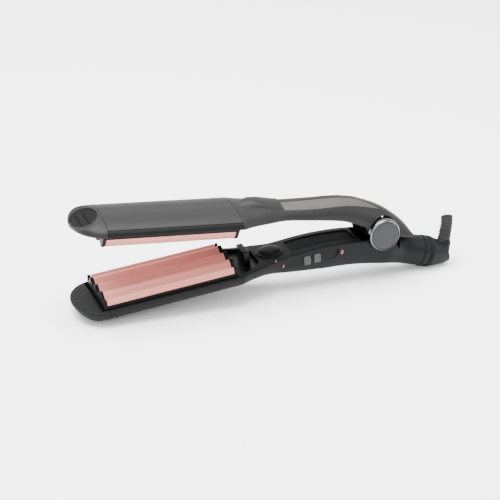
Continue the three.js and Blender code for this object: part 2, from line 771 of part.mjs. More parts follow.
// ---------------------------------------------------------------- hinge
function addHinge(group) {
  addPiece(group, "hinge_pin", rod(pinRadius, -cheekEnd, cheekEnd, hingePlace, hingeLevel, 24), steel);
  const near = cheekEnd + gap;
  const far = near + discThick;
  const faceRadius = discRadius - 1.9;
  for (const [word, side] of [
    ["near", -1],
    ["far", 1],
  ]) {
    const facing = (solid) =>
      solid.rotate([side > 0 ? -90 : 90, 0, 0]).translate(hingePlace, 0, hingeLevel);
    const disc = turned([
      [0, near],
      [faceRadius, near],
      [faceRadius, far - 0.3],
      [faceRadius - 0.3, far],
      [0, far],
    ], 48);
    const ring = turned([
      [faceRadius + gap, near],
      [discRadius, near],
      [discRadius, far - 1.1],
      [discRadius - 0.9, far - 0.1],
      [faceRadius + gap, far - 0.1],
      [faceRadius + gap, near],
    ], 48);
    addPiece(group, "hinge_disc_" + word, facing(disc), silverGrey);
    addPiece(group, "hinge_ring_" + word, facing(ring), chrome);
  }
  const inside = pinRadius + 0.8;
  const coil = turned([
    [inside, -springHalf],
    [springRadius, -springHalf],
    [springRadius, springHalf],
    [inside, springHalf],
    [inside, -springHalf],
  ], 24).rotate([90, 0, 0]);
  const leg = slab(0, springRadius + 8, 0.9, -springRadius, -springRadius + 1.6);
  const spring = join(coil, leg).translate(hingePlace, 0, hingeLevel);
  addPiece(group, "hinge_spring", spring, steel);
}

// ---------------------------------------------------------------- tail
// Everything here is drawn along the tail's own axis, away from the handle, from its end.
function tailFrame(group) {
  const middle = (smooth(lowerShape.inner, tailEnd) + smooth(lowerShape.outer, tailEnd)) / 2;
  const frame = new THREE.Group();
  frame.position.copy(onLine(bentLine, tailEnd, 0, middle));
  frame.rotation.y = bendAngle + Math.PI / 2;
  group.add(frame);
  return frame;
}

function addTail(group) {
  const frame = tailFrame(group);
  const bandStart = collarLength * 0.55;
  const bore = tailRadius - wall - 0.6;
  const collar = turned([
    [bore, -6],
    [tailRadius - wall - gap, -6],
    [tailRadius - wall - gap, gap],
    [collarRadius - 0.3, gap],
    [collarRadius, gap + 0.4],
    [collarRadius, bandStart],
    [collarRadius - 1.4, bandStart],
    [collarRadius - 1.4, collarLength - 0.8],
    [bore, collarLength - 0.8],
    [bore, -6],
  ]);
  addPiece(frame, "tail_collar", collar, charcoal);
  const band = turned([
    [collarRadius - 1.4 + gap, bandStart + gap],
    [collarRadius, bandStart + gap],
    [collarRadius, collarLength],
    [collarRadius - 1.4 + gap, collarLength],
    [collarRadius - 1.4 + gap, bandStart + gap],
  ]);
  addPiece(frame, "tail_band", band, rubber);
  addSwivel(frame, bore);
}

function addSwivel(frame, bore) {
  const start = collarLength + gap;
  const end = start + swivelLength;
  const neck = bore - gap;
  const cap = turned([
    [0, start + 3],
    [neck - 2, start + 3],
    [neck - 2, start - 7],
    [neck, start - 7],
    [neck, start],
    [collarRadius - 0.5, start],
    [collarRadius - 2.1, start + 6],
    [collarRadius - 3.6, start + 12],
    [collarRadius - 4.4, end - 0.6],
    [0, end],
  ]);
  const slant = block(-30, 30, -30, 30, 0, 30).rotate([0, -24, 0]).translate(0, 0, end - 1.5);
  const seatRadius = reliefRadius + 0.9;
  const boss = toSolid(new THREE.CylinderGeometry(seatRadius, seatRadius, reliefSeat, 24));
  const lean = -reliefLean / degree;
  const place = start + reliefPlace;
  const turnedBoss = boss.rotate([0, 0, -90]).translate(-reliefSeat / 2, 0, 0);
  const seat = turnedBoss.rotate([0, 0, lean]).translate(0, 0, place);
  addPiece(frame, "swivel_cap", join(cut(cap, slant), seat), charcoal);

  const relief = reliefSolid();
  addPiece(frame, "strain_relief", relief.rotate([0, 0, lean]).translate(0, 0, place), rubber);
}

// The strain relief leaves the cap sideways and bends over towards its open end.
function reliefSolid() {
  const foot = reliefSeat + gap;
  const straight = 9;
  const bendRadius = 16;
  const tube = (radii, from, to) => {
    const rings = spread(from, to, 13).map((s) => {
      const turn = Math.max(0, s - straight) / bendRadius;
      const along = foot + Math.min(s, straight) + bendRadius * Math.sin(turn);
      const aside = bendRadius * (1 - Math.cos(turn));
      const radius = radii(s);
      return spread(0, 2 * Math.PI, 17)
        .slice(0, -1)
        .map((a) => {
          const across = radius * Math.cos(a);
          const x = across * Math.sin(turn) - along;
          const y = aside + across * Math.cos(turn);
          return new THREE.Vector3(x, y, radius * Math.sin(a));
        });
    });
    return loft(rings);
  };
  const outer = tube((s) => reliefRadius - 0.3 * (s / reliefLength), 0, reliefLength);
  const inner = tube(() => cordBore, 6, reliefLength + 2);
  return cut(outer, inner);
}

// ---------------------------------------------------------------- assembly
function buildLowerArm() {
  const arm = new THREE.Group();
  addTip(arm, "lower");
  addBarrel(arm, "lower");
  addPlate(arm, "lower", 0);
  addLowerHandle(arm);
  addDial(arm);
  addSwitch(arm);
  addHinge(arm);
  addTail(arm);
  return arm;
}

function buildUpperArm() {
  const arm = new THREE.Group();
  addTip(arm, "upper");
  addBarrel(arm, "upper");
  addPlate(arm, "upper", Math.PI);
  addUpperHandle(arm);
  arm.rotation.x = Math.PI;
  arm.position.set(-hingePlace, 0, axisLevel);
  const pivot = new THREE.Group();
  pivot.position.set(hingePlace, 0, hingeLevel);
  pivot.rotation.y = openAngle;
  pivot.add(arm);
  return pivot;
}

// The tilt at which the tip's corner and the collar's rim are level.
function restTilt() {
  const corner = new THREE.Vector2(-tipReach + tipRun, -lowerDepth);
  const middle = (smooth(lowerShape.inner, tailEnd) + smooth(lowerShape.outer, tailEnd)) / 2;
  const centre = onLine(bentLine, tailEnd, 0, middle);
  const rimX = centre.x + collarLength * Math.cos(bendAngle) - collarRadius * Math.sin(bendAngle);
  const rimZ = centre.z - collarLength * Math.sin(bendAngle) - collarRadius * Math.cos(bendAngle);
  return Math.atan2(corner.y - rimZ, rimX - corner.x);
}

const crimper = new THREE.Group();
const lying = new THREE.Group();
lying.add(buildLowerArm(), buildUpperArm());
lying.rotation.y = -restTilt();
crimper.add(lying);
crimper.updateMatrixWorld(true);

// The origin is the middle of the bounding box's underside.
const bounds = new THREE.Box3().setFromObject(crimper, true);
const centre = bounds.getCenter(new THREE.Vector3());
lying.position.set(-centre.x, -centre.y, -bounds.min.z);

export default crimper;
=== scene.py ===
import json
import math

import bpy
import numpy as np
from mathutils import Matrix, Vector


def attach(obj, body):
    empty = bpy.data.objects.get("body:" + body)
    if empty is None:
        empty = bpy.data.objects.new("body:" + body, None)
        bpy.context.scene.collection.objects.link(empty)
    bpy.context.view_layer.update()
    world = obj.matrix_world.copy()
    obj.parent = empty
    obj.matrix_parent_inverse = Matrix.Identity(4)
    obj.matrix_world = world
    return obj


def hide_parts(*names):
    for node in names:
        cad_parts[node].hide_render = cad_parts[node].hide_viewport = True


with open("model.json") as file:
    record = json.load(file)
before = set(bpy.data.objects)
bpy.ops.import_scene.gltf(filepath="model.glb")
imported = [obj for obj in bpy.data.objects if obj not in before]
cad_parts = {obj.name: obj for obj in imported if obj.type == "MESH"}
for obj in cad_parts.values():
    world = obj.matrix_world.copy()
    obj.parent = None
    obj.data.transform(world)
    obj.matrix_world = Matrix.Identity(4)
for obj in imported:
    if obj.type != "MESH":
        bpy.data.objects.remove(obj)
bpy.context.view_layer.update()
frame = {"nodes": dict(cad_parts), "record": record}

# Lengths in the dictionaries are millimetres in an arm's own frame: x from the tip end of the plate
# towards the cable, y across, z from the plate's base towards the other arm. A piece is made there,
# and its mesh is then put in its place in metres.

# ---- where the two arms and the tail lie
arms = dict(hingePlace=204.5, hingeLevel=-2.85, plateSpacing=9.2, openAngle=10.8)
joints = {joint["name"]: joint for joint in frame["record"]["behaviour"]["joints"]}
hingePoint = Vector(joints["arm_hinge"]["pos_m"])
alongArm = Vector(joints["switch_slide"]["axis"]).normalized()
acrossArm = Vector((0, 1, 0))
armAxes = Matrix((alongArm, acrossArm, alongArm.cross(acrossArm))).transposed().to_4x4()
armTilt = math.atan2(alongArm.z, alongArm.x)
atHinge = Matrix.Translation(hingePoint) @ armAxes @ Matrix.Scale(0.001, 4)
lowerPlace = atHinge @ Matrix.Translation((-arms["hingePlace"], 0, -arms["hingeLevel"]))
axisLevel = arms["plateSpacing"] - arms["hingeLevel"]  # the hinge's axis in the upper arm's frame
upperPlace = (
    atHinge
    @ Matrix.Rotation(math.radians(arms["openAngle"]), 4, "Y")
    @ Matrix.Translation((-arms["hingePlace"], 0, axisLevel))
    @ Matrix.Rotation(math.pi, 4, "X")
)

casing = dict(
    gap=0.3, wall=2.0, plateLength=90.0, barrelHalf=26.0, rimLevel=-2.0, waistDrop=1.6,
    splitLevel=-7.0, rimWall=2.2, recessLevel=-5.0, recessEnd=112.4,
)
bend = dict(start=150.0, end=228.0, angle=math.radians(21))
tail = dict(end=241.0, radius=11.0, collarLength=7.4, collarRadius=11.4, swivelLength=17.5)
barrelDepth = dict(lower=14.9, upper=11.5)
neckStart = casing["plateLength"] + 4
gripStart = neckStart + 36
lowerShape = dict(
    half=[(neckStart, 26), (neckStart + 8, 22.6), (neckStart + 21, 18.6), (gripStart, 14.9), (150, 14.6),
          (210.5, 14.6), (228, 11), (242, 11)],
    inner=[(neckStart, -2), (neckStart + 30, -2), (150, -1.1), (204.5, -1.1), (228, -0.5), (242, -0.4)],
    outer=[(neckStart, -14.9), (neckStart + 18, -14.9), (gripStart, -18.4), (150, -21.8), (168, -23.4),
           (204.5, -23.4), (228, -22.5), (242, -22.4)],
    round=[(neckStart, 0), (194.5, 0), (228, 1), (242, 1)],
)
upperShape = dict(
    half=[(neckStart, 26), (neckStart + 8, 22.6), (neckStart + 21, 18.6), (gripStart, 14.9), (150, 14.6),
          (212.5, 14.6), (224, 13.9), (231, 12.4)],
    inner=[(neckStart, -2), (neckStart + 32, -2), (150, -0.8), (171, 1), (183, 4.2), (195, 8.4), (207.5, 12.5),
           (216, 15.4), (224, 16.8), (231, 17.4)],
    outer=[(neckStart, -11.5), (neckStart + 16, -11.6), (gripStart, -11), (150, -11.5), (171, -12.4),
           (183, -11.4), (193, -8.9), (207.5, -3.4), (216, 1.6), (223, 6.6), (228, 11.6), (231, 15.6)],
    round=[(neckStart, 0), (231, 0)],
)
barrelShape = {
    arm: dict(half=[(0, 26), (1, 26)], inner=[(0, -2), (1, -2)], outer=[(0, -depth), (1, -depth)],
              round=[(0, 0), (1, 0)])
    for arm, depth in barrelDepth.items()
}


# ---- curves
def smoothCurve(points, x):
    # cubic Hermite through the points; the tangent is the harmonic mean of the slopes beside it,
    # and zero at the ends and where the slopes differ in sign
    knots = np.array(points, float)
    px, py = knots[:, 0], knots[:, 1]
    x = np.clip(np.asarray(x, float), px[0], px[-1])
    i = np.clip(np.searchsorted(px, x, side="right") - 1, 0, len(px) - 2)
    chord = np.diff(py) / np.diff(px)
    before, after = chord[:-1], chord[1:]
    same = before * after > 0
    mean = np.where(same, 2 * before * after / np.where(same, before + after, 1), 0)
    tangent = np.concatenate([[0], mean, [0]])
    span = px[i + 1] - px[i]
    t = (x - px[i]) / span
    rise = t * t * (3 - 2 * t)
    ends = t * (1 - t) ** 2 * span * tangent[i] + t * t * (t - 1) * span * tangent[i + 1]
    return py[i] + (py[i + 1] - py[i]) * rise + ends


def bezier(a, b, c, d, count=24):
    # the cubic with end points a and d and handles b and c
    t = np.linspace(0, 1, count)[:, None]
    a, b, c, d = (np.array(p, float) for p in (a, b, c, d))
    return a * (1 - t) ** 3 + 3 * b * t * (1 - t) ** 2 + 3 * c * t * t * (1 - t) + d * t**3


def bentLine(x):
    # straight, then an arc of radius (end - start) / sin(angle), then straight along the arc's end
    radius = (bend["end"] - bend["start"]) / math.sin(bend["angle"])
    tilt = np.arcsin(np.clip((x - bend["start"]) / radius, 0, math.sin(bend["angle"])))
    past = np.maximum(x - bend["end"], 0)
    return -radius * (1 - np.cos(tilt)) - past * math.tan(bend["angle"]), tilt


def straightLine(x):
    return 0 * x, 0 * x


def alongLine(line, x, y, h):
    # a point at station x, moved h along the centre line's normal
    drop, tilt = line(x)
    x, y, h, drop, tilt = np.broadcast_arrays(x, y, h, drop, tilt)
    return np.stack([x + h * np.sin(tilt), y, drop + h * np.cos(tilt)], axis=-1)


def levels(shape, x, inset=0.0):
    half, inner, outer, blend = (smoothCurve(shape[key], x) for key in ("half", "inner", "outer", "round"))
    half, inner, outer = half - inset, inner - inset, outer + inset
    waist = (inner - casing["waistDrop"]) * (1 - blend) + (inner + outer) / 2 * blend
    return half, inner, outer, blend, waist


def sectionHeight(shape, x, y, side, inset=0.0):
    # the superellipse's height over y, on the inner side (+1) or the outer side (-1)
    half, inner, outer, blend, waist = levels(shape, x, inset)
    share = np.clip(np.abs(y) / half, 0, 1)
    if side > 0:
        power = 5 - 3 * blend
        return waist + (inner - waist) * (1 - share**power) ** (1 / power)
    depth = (waist - outer) * (1.02 - 0.02 * blend)
    return np.maximum(waist - depth * np.sqrt(1 - share**2), outer)


def sectionHalf(shape, x, h):
    # the superellipse's half width at height h below the waist
    half, _, outer, blend, waist = levels(shape, x)
    share = np.clip((waist - h) / ((waist - outer) * (1.02 - 0.02 * blend)), 0, 1)
    return half * np.sqrt(1 - share**2)


def restLift(x, y):
    # the finger rest behind the upper barrel: half an ellipse across, its crown rising and falling along x
    crown = smoothCurve([(95.5, 0), (101, 1.8), (107.5, 3.3), (114, 2.8), (121, 1.9), (128, 1.2)], x)
    edge = smoothCurve([(95.5, 0.6), (101, 5.0), (107.5, 8.2), (116, 9.8), (128, 10.6)], x)
    return np.where(x < 128.2, crown * np.sqrt(np.clip(1 - (y / edge) ** 2, 0, 1)), 0)


def armRings(shape, line, stations, inset=0.0, sides=144, lift=None):
    # half a superellipse above the waist and half below it, the lower one cut off at the outer level
    x = np.asarray(stations, float)[:, None]
    angle = 2 * np.pi * (np.arange(sides) + 0.5)[None, :] / sides
    half, inner, outer, blend, waist = levels(shape, x, inset)
    up = np.sin(angle) > 0
    power = np.where(up, 5 - 3 * blend, 2)
    reach = np.abs(np.sin(angle)) ** (2 / power)
    y = half * np.sign(np.cos(angle)) * np.abs(np.cos(angle)) ** (2 / power)
    down = waist - (waist - outer) * (1.02 - 0.02 * blend) * reach
    h = np.maximum(np.where(up, waist + (inner - waist) * reach, down), outer)
    if lift is not None:
        h = np.where(up, h, h - lift(x, y))
    return alongLine(line, x, y, h)


# ---- pieces
def makePiece(name, points, faces):
    # a mesh object in millimetres; its faces are turned over if its volume comes out negative
    points = np.asarray(points, float).reshape(-1, 3)
    mesh = bpy.data.meshes.new(name)
    mesh.from_pydata(points.tolist(), [], faces)
    mesh.calc_loop_triangles()
    corners = np.empty(len(mesh.loop_triangles) * 3, np.int32)
    mesh.loop_triangles.foreach_get("vertices", corners)
    a, b, c = points[corners].reshape(-1, 3, 3).transpose(1, 0, 2)
    if np.einsum("ij,ij->", a, np.cross(b, c)) < 0:
        mesh.flip_normals()
    piece = bpy.data.objects.new(name, mesh)
    bpy.context.scene.collection.objects.link(piece)
    return piece


def skinOver(name, rings):
    # quads between neighbouring rings, and one flat face over each end
    count, sides = rings.shape[:2]
    index = np.arange(count * sides).reshape(count, sides)
    beside = np.roll(index, -1, axis=1)
    quads = np.stack([index[:-1], index[1:], beside[1:], beside[:-1]], axis=-1).reshape(-1, 4)
    return makePiece(name, rings, quads.tolist() + [index[0].tolist(), index[-1][::-1].tolist()])


def betweenSheets(name, top, bottom):
    # a closed slab between two grids of points that lie over each other
    return skinOver(name, np.concatenate([top, bottom[:, ::-1]], axis=1))


def extruded(name, outline, low, high, axis):
    # a plane outline carried straight along one axis
    outline = np.asarray(outline, float)
    rings = np.stack([np.insert(outline, axis, level, axis=1) for level in (low, high)])
    return skinOver(name, rings)


def lathed(name, profile, sides=96, axis="Z", centre=(0, 0, 0)):
    # (radius, height) pairs turned about an axis; a profile that returns to its start makes a ring
    profile = np.array(profile, float)
    angle = 2 * np.pi * np.arange(sides) / sides
    ring = profile[:, 0, None]
    height = profile[:, 1, None] + 0 * angle
    points = np.stack([ring * np.cos(angle), ring * np.sin(angle), height], axis=-1)
    if axis == "Y":
        points = np.stack([points[..., 0], -points[..., 2], points[..., 1]], axis=-1)
    points = points + np.array(centre)
    if np.allclose(profile[0], profile[-1]):
        rows = len(profile) - 1
        index = np.arange(rows * sides).reshape(rows, sides)
        below, beside = np.roll(index, -1, axis=0), np.roll(index, -1, axis=1)
        quads = np.stack([index, below, np.roll(below, -1, axis=1), beside], axis=-1).reshape(-1, 4)
        return makePiece(name, points[:-1], quads.tolist())
    return skinOver(name, points)


def rod(name, radius, y0, y1, x, z, sides=96):
    return lathed(name, [(radius, -y1), (radius, -y0)], sides, "Y", (x, 0, z))


def cornerSteps(radius, steps=5):
    # how far a rounded edge is drawn in, and how far it has risen, from its foot to its crown
    turn = np.linspace(0, np.pi / 2, steps)
    return radius * (1 - np.cos(turn)), radius * np.sin(turn)


def roundedOutline(halfX, halfY, radius, steps=6):
    # a rectangle with quarter-circle corners
    turn = np.linspace(0, np.pi / 2, steps)
    corners = []
    for quarter, (signX, signY) in enumerate([(1, 1), (-1, 1), (-1, -1), (1, -1)]):
        angle = turn + quarter * np.pi / 2
        corners.append(np.stack([signX * (halfX - radius) + radius * np.cos(angle),
                                 signY * (halfY - radius) + radius * np.sin(angle)], axis=-1))
    return np.concatenate(corners)


def roundedBlock(name, low, high, radius, edge):
    # rounded outlines stacked upwards, drawn in over a quarter circle at the foot and at the crown
    low, high = np.array(low, float), np.array(high, float)
    middle, half = (low + high) / 2, (high - low) / 2
    inset, rise = cornerSteps(edge)
    insets = np.concatenate([inset[::-1], inset])
    heights = np.concatenate([low[2] + edge - rise[::-1], high[2] - edge + rise])
    rings = []
    for drawnIn, height in zip(insets, heights):
        plan = roundedOutline(half[0] - drawnIn, half[1] - drawnIn, max(radius - drawnIn, 0.05))
        rings.append(np.column_stack([plan + middle[:2], np.full(len(plan), height)]))
    return skinOver(name, np.array(rings))


def box(name, low, high):
    outline = [(low[0], low[1]), (high[0], low[1]), (high[0], high[1]), (low[0], high[1])]
    return extruded(name, outline, low[2], high[2], 2)


def combine(base, others, operation):
    for other in others:
        step = base.modifiers.new(operation.lower(), "BOOLEAN")
        step.operation = operation
        step.solver = "MANIFOLD"
        step.object = other
    graph = bpy.context.evaluated_depsgraph_get()
    done = bpy.data.meshes.new_from_object(base.evaluated_get(graph))
    base.modifiers.clear()
    base.data = done
    for other in others:
        bpy.data.objects.remove(other)
    return base


def carve(base, *tools):
    return combine(base, tools, "DIFFERENCE")


def fuse(base, *others):
    return combine(base, others, "UNION")


def keepInside(base, other):
    return combine(base, [other], "INTERSECT")


def settle(piece, place, body, finish, nodes=(), crease=28):
    # puts the mesh in its place in metres, gives it its finish, ties the piece to its body and hides the frame
    # nodes it stands in for
    piece.data.transform(place)
    piece.data.materials.clear()
    piece.data.materials.append(finish)
    piece.data.shade_smooth()
    piece.data.set_sharp_from_angle(angle=math.radians(crease))
    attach(piece, body)
    if nodes:
        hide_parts(*nodes)
    return piece


# ---- shader helpers
class Wire:
    # one shader socket; arithmetic on it adds Math nodes
    def __init__(self, finish, socket):
        self.finish = finish
        self.socket = socket

    def math(self, operation, *values):
        return self.finish.node("ShaderNodeMath", {"operation": operation}, dict(enumerate(values)))

    def __add__(self, other):
        return self.math("ADD", self, other)

    def __sub__(self, other):
        return self.math("SUBTRACT", self, other)

    def __rsub__(self, other):
        return self.math("SUBTRACT", other, self)

    def __mul__(self, other):
        return self.math("MULTIPLY", self, other)

    def __pow__(self, other):
        return self.math("POWER", self, other)

    __radd__ = __add__
    __rmul__ = __mul__


class Finish:
    def __init__(self, name):
        self.material = bpy.data.materials.new(name)
        self.material.use_nodes = True
        self.tree = self.material.node_tree
        self.tree.nodes.clear()
        self.place = self.node("ShaderNodeTexCoord", output="Object")

    def node(self, kind, settings=None, values=None, output=0):
        node = self.tree.nodes.new(kind)
        for key, value in (settings or {}).items():
            setattr(node, key, value)
        for key, value in (values or {}).items():
            if isinstance(value, Wire):
                self.tree.links.new(value.socket, node.inputs[key])
            else:
                node.inputs[key].default_value = value
        return None if output is None else Wire(self, node.outputs[output])

    def noise(self, scale, detail=2.0, stretch=(1, 1, 1), turn=0.0):
        spot = self.node("ShaderNodeMapping", None, {
            "Vector": self.place, "Rotation": (0, turn, 0), "Scale": stretch}, "Vector")
        return self.node("ShaderNodeTexNoise", None, {"Vector": spot, "Scale": scale, "Detail": detail}, 0)

    def mix(self, share, first, second):
        return self.node("ShaderNodeMix", {"data_type": "RGBA"}, {0: share, 6: first, 7: second}, 2)

    def bump(self, height, distance, strength=1.0, under=None):
        values = {"Height": height, "Distance": distance, "Strength": strength}
        if under is not None:
            values["Normal"] = under
        return self.node("ShaderNodeBump", None, values, "Normal")

    def close(self, **sockets):
        values = {key.replace("_", " "): value for key, value in sockets.items()}
        shader = self.node("ShaderNodeBsdfPrincipled", None, values, "BSDF")
        self.node("ShaderNodeOutputMaterial", None, {"Surface": shader}, None)
        return self.material


def grey(level, warm=0.0):
    return (level * (1 + warm), level, level * (1 - warm), 1)


# ---- finishes
def mouldedFinish(name, level, warm=0.0, roughness=0.42, grain=2600, depth=0.00004, specular=0.5):
    # moulded plastic: cloudy tone, fine spark-eroded grain, handling marks in the gloss
    made = Finish(name)
    cloud = made.noise(38, 3)
    fine = made.noise(grain, 2)
    smear = made.noise(90, 4, (0.25, 1, 1), -armTilt)
    tone = made.mix(cloud, grey(level * 0.9, warm), grey(level * 1.1, warm))
    shine = roughness - 0.09 + cloud * 0.06 + smear * 0.12
    return made.close(Base_Color=tone, Roughness=shine, Normal=made.bump(fine, depth, 0.5),
                      Specular_IOR_Level=specular)


def plateFinish(name):
    # ceramic-coated aluminium: dusty pink, drawn lightly along the plate, with a soft metallic sheen
    made = Finish(name)
    drawn = made.noise(1400, 3, (0.02, 1, 1), -armTilt)
    cloud = made.noise(45, 3)
    fine = made.noise(3800, 2)
    tone = made.mix(cloud * 0.6 + drawn * 0.4, (0.42, 0.15, 0.125, 1), (0.54, 0.21, 0.175, 1))
    return made.close(Base_Color=tone, Roughness=0.34 + drawn * 0.14 + cloud * 0.05, Metallic=0.25,
                      Specular_IOR_Level=0.2,
                      Normal=made.bump(drawn * 0.6 + fine * 0.4, 0.00003, 0.5))


def rubberFinish(name, level, roughness=0.72):
    # matt rubber: fine open grain and dust in the tone
    made = Finish(name)
    fine = made.noise(3200, 4)
    dust = made.noise(120, 5)
    tone = made.mix(dust, grey(level * 0.85), grey(level * 1.2))
    return made.close(Base_Color=tone, Roughness=roughness + fine * 0.12,
                      Normal=made.bump(fine, 0.00006, 0.6), Specular_IOR_Level=0.1)


def inlayFinish(name):
    # warm grey soft-touch skin with a fine pebble
    made = Finish(name)
    cells = made.node("ShaderNodeTexVoronoi", {"feature": "SMOOTH_F1"}, {
        "Vector": made.place, "Scale": 1500.0}, "Distance")
    cloud = made.noise(60, 3)
    tone = made.mix(cloud, (0.040, 0.0385, 0.036, 1), (0.052, 0.050, 0.047, 1))
    return made.close(Base_Color=tone, Roughness=0.5 + cells * 0.15,
                      Normal=made.bump(cells, 0.00004, 0.5), Specular_IOR_Level=0.2)


def metalFinish(name, colour, roughness, scratches=0.1, metallic=1.0):
    # bare or plated metal with hairline scratches
    made = Finish(name)
    hair = made.noise(2200, 3, (0.06, 1, 1), 0.6)
    cloud = made.noise(70, 3)
    darker = tuple(channel * 0.86 for channel in colour[:3]) + (1,)
    tone = made.mix(cloud, colour, darker)
    return made.close(Base_Color=tone, Metallic=metallic, Roughness=roughness + hair * scratches,
                      Normal=made.bump(hair, 0.00002, 0.3))


def glossFinish(name):
    # polished near-black plastic with faint orange peel and dust
    made = Finish(name)
    peel = made.noise(420, 2)
    dust = made.noise(900, 6)
    tone = made.mix(dust, (0.002, 0.002, 0.003, 1), (0.004, 0.0038, 0.005, 1))
    return made.close(Base_Color=tone, Roughness=0.26 + dust * 0.08,
                      Normal=made.bump(peel, 0.00005, 0.25), Specular_IOR_Level=0.1)


def paintFinish(name, colour):
    made = Finish(name)
    speckle = made.noise(1800, 3)
    darker = tuple(channel * 0.8 for channel in colour[:3]) + (1,)
    return made.close(Base_Color=made.mix(speckle, colour, darker), Roughness=0.45 + speckle * 0.1,
                      Normal=made.bump(speckle, 0.00002, 0.3))


def ceramicFinish(name):
    made = Finish(name)
    fine = made.noise(2000, 5)
    tone = made.mix(fine, (0.74, 0.71, 0.66, 1), (0.82, 0.80, 0.76, 1))
    return made.close(Base_Color=tone, Roughness=0.6 + fine * 0.15, Normal=made.bump(fine, 0.00004, 0.5))


def boardFinish(name):
    # solder resist with copper tracks under it
    made = Finish(name)
    tracks = made.node("ShaderNodeTexBrick", {"offset": 0.5}, {
        "Vector": made.place, "Scale": 260.0, "Mortar Size": 0.03, "Color1": (0, 0, 0, 1),
        "Color2": (0, 0, 0, 1), "Mortar": (1, 1, 1, 1)}, "Fac")
    weave = made.noise(900, 3)
    tone = made.mix(tracks * 0.7 + weave * 0.2, (0.012, 0.10, 0.045, 1), (0.10, 0.24, 0.10, 1))
    return made.close(Base_Color=tone, Roughness=0.35 + weave * 0.1, Normal=made.bump(tracks, 0.00004, 0.4))


print("stage: finishes")
upperGrey = mouldedFinish("charcoal satin plastic", 0.0105, 0, 0.44, specular=0.13)
# the lower arm's copy of the charcoal plastic is darker, slightly bluer and less glossy: painted shade that darkens
# every lower-arm part as if it lay in shade below the upper arm
shadedLowerGrey = mouldedFinish("charcoal satin plastic, lower arm, painted shade", 0.006, -0.05, 0.44, specular=0.07)
bandBlack = mouldedFinish("heat-resistant black plastic", 0.005, -0.04, 0.4, specular=0.08)
glossBlack = glossFinish("gloss black plastic")
padRubber = rubberFinish("tip pad rubber", 0.004)
panelRubber = rubberFinish("soft panel", 0.003, 0.6)
reliefRubber = rubberFinish("strain relief rubber", 0.018, 0.6)
platePink = plateFinish("pink plate coating")
inlaySkin = inlayFinish("grip inlay skin")
discGrey = metalFinish("grey disc lacquer", (0.017, 0.017, 0.019, 1), 0.4, 0.1, 0.5)
chromeRim = metalFinish("chrome rim", (0.13, 0.13, 0.135, 1), 0.16, 0.08)
plainSteel = metalFinish("plain steel", (0.16, 0.16, 0.165, 1), 0.3, 0.2)
gripGrey = mouldedFinish("light grey grip pads", 0.030, 0.0, 0.38, specular=0.3)
pinkPaint = paintFinish("pink printed marks", (0.38, 0.13, 0.12, 1))
lensClear = paintFinish("milky lens", (0.05, 0.048, 0.046, 1))
heaterWhite = ceramicFinish("heater ceramic")
boardGreen = boardFinish("circuit board")


# ---- camera, floor and lights
def addCamera():
    view = dict(place=(-0.36377, -0.91599, 0.46875), azimuth=-20.78, elevation=-24.07, roll=0.94, lens=111.3)
    data = bpy.data.cameras.new("camera")
    data.lens = view["lens"]
    data.sensor_width = 36
    camera = bpy.data.objects.new("camera", data)
    camera.matrix_world = (
        Matrix.Translation(view["place"])
        @ Matrix.Rotation(math.radians(view["azimuth"]), 4, "Z")
        @ Matrix.Rotation(math.radians(90 + view["elevation"]), 4, "X")
        @ Matrix.Rotation(math.radians(view["roll"]), 4, "Z")
    )
    bpy.context.scene.collection.objects.link(camera)
    bpy.context.scene.camera = camera


def addFloor():
    floor = makePiece("floor", [(-4, -4, 0), (4, -4, 0), (4, 4, 0), (-4, 4, 0)], [(0, 1, 2, 3)])
    made = Finish("floor paper")
    fibre = made.noise(300, 4)
    tone = made.mix(fibre, (0.93, 0.93, 0.93, 1), (0.96, 0.96, 0.96, 1))
    floor.data.materials.append(made.close(Base_Color=tone, Roughness=0.9, Specular_IOR_Level=0.1))


def addLights():
    lamps = [
        dict(name="top", place=(-0.2, 0.1, 1.4), power=110, size=1.5),
        dict(name="front", place=(-0.9, -1.2, 0.8), power=14, size=1.0),
        dict(name="side", place=(1.2, -0.5, 0.7), power=8, size=0.8),
    ]
    for lamp in lamps:
        data = bpy.data.lights.new(lamp["name"], "AREA")
        data.energy = lamp["power"]
        data.size = lamp["size"]
        light = bpy.data.objects.new(lamp["name"], data)
        aim = Vector((0, 0, 0.03)) - Vector(lamp["place"])
        turned = aim.to_track_quat("-Z", "Y").to_matrix().to_4x4()
        light.matrix_world = Matrix.Translation(lamp["place"]) @ turned
        bpy.context.scene.collection.objects.link(light)
    world = bpy.data.worlds.new("soft room")
    world.use_nodes = True
    background = world.node_tree.nodes["Background"]
    background.inputs["Color"].default_value = (1, 1, 1, 1)
    background.inputs["Strength"].default_value = 1.6
    bpy.context.scene.world = world


addCamera()
addFloor()
addLights()
print("stage: camera, floor and lights")


# ---- tips
tip = dict(reach=19.8, nose=1.8, run=18.0, padPlace=9.36, padLong=9.2, padWide=13.4, padDish=1.7, padDeep=2.4,
           ribs=(-3.4, 1.9), ribWidth=0.45, pocket=0.25, recessLength=4.8, recessFloor=-6.2)


def flatSlope(arm):
    return (barrelDepth[arm] + casing["rimLevel"] - tip["nose"]) / tip["run"]


def tipRings(arm):
    # the barrel's section, its width following a superellipse in plan, cut by the slanting flat
    stations = -tip["reach"] * (1 - np.linspace(0.012, 1, 72) ** 2)
    stations[-1] = -casing["gap"] / 2
    width = np.sqrt(1 - (-stations / tip["reach"]) ** 2.2)
    rings = armRings(barrelShape[arm], straightLine, np.zeros(len(stations)), 0, 160)
    rings[..., 0] = stations[:, None]
    rings[..., 1] *= width[:, None]
    flat = casing["rimLevel"] - tip["nose"] - flatSlope(arm) * (stations + tip["reach"])
    flat = np.minimum(flat, casing["rimLevel"] - 1)
    rings[..., 2] = np.maximum(rings[..., 2], flat[:, None])
    return rings


def padPlace(arm):
    # the middle of the slanting flat, with z pointing into the tip
    level = casing["rimLevel"] - tip["nose"] - flatSlope(arm) * tip["padPlace"]
    return Matrix.Translation((-tip["reach"] + tip["padPlace"], 0, level)) @ Matrix.Rotation(
        math.atan(flatSlope(arm)), 4, "Y")


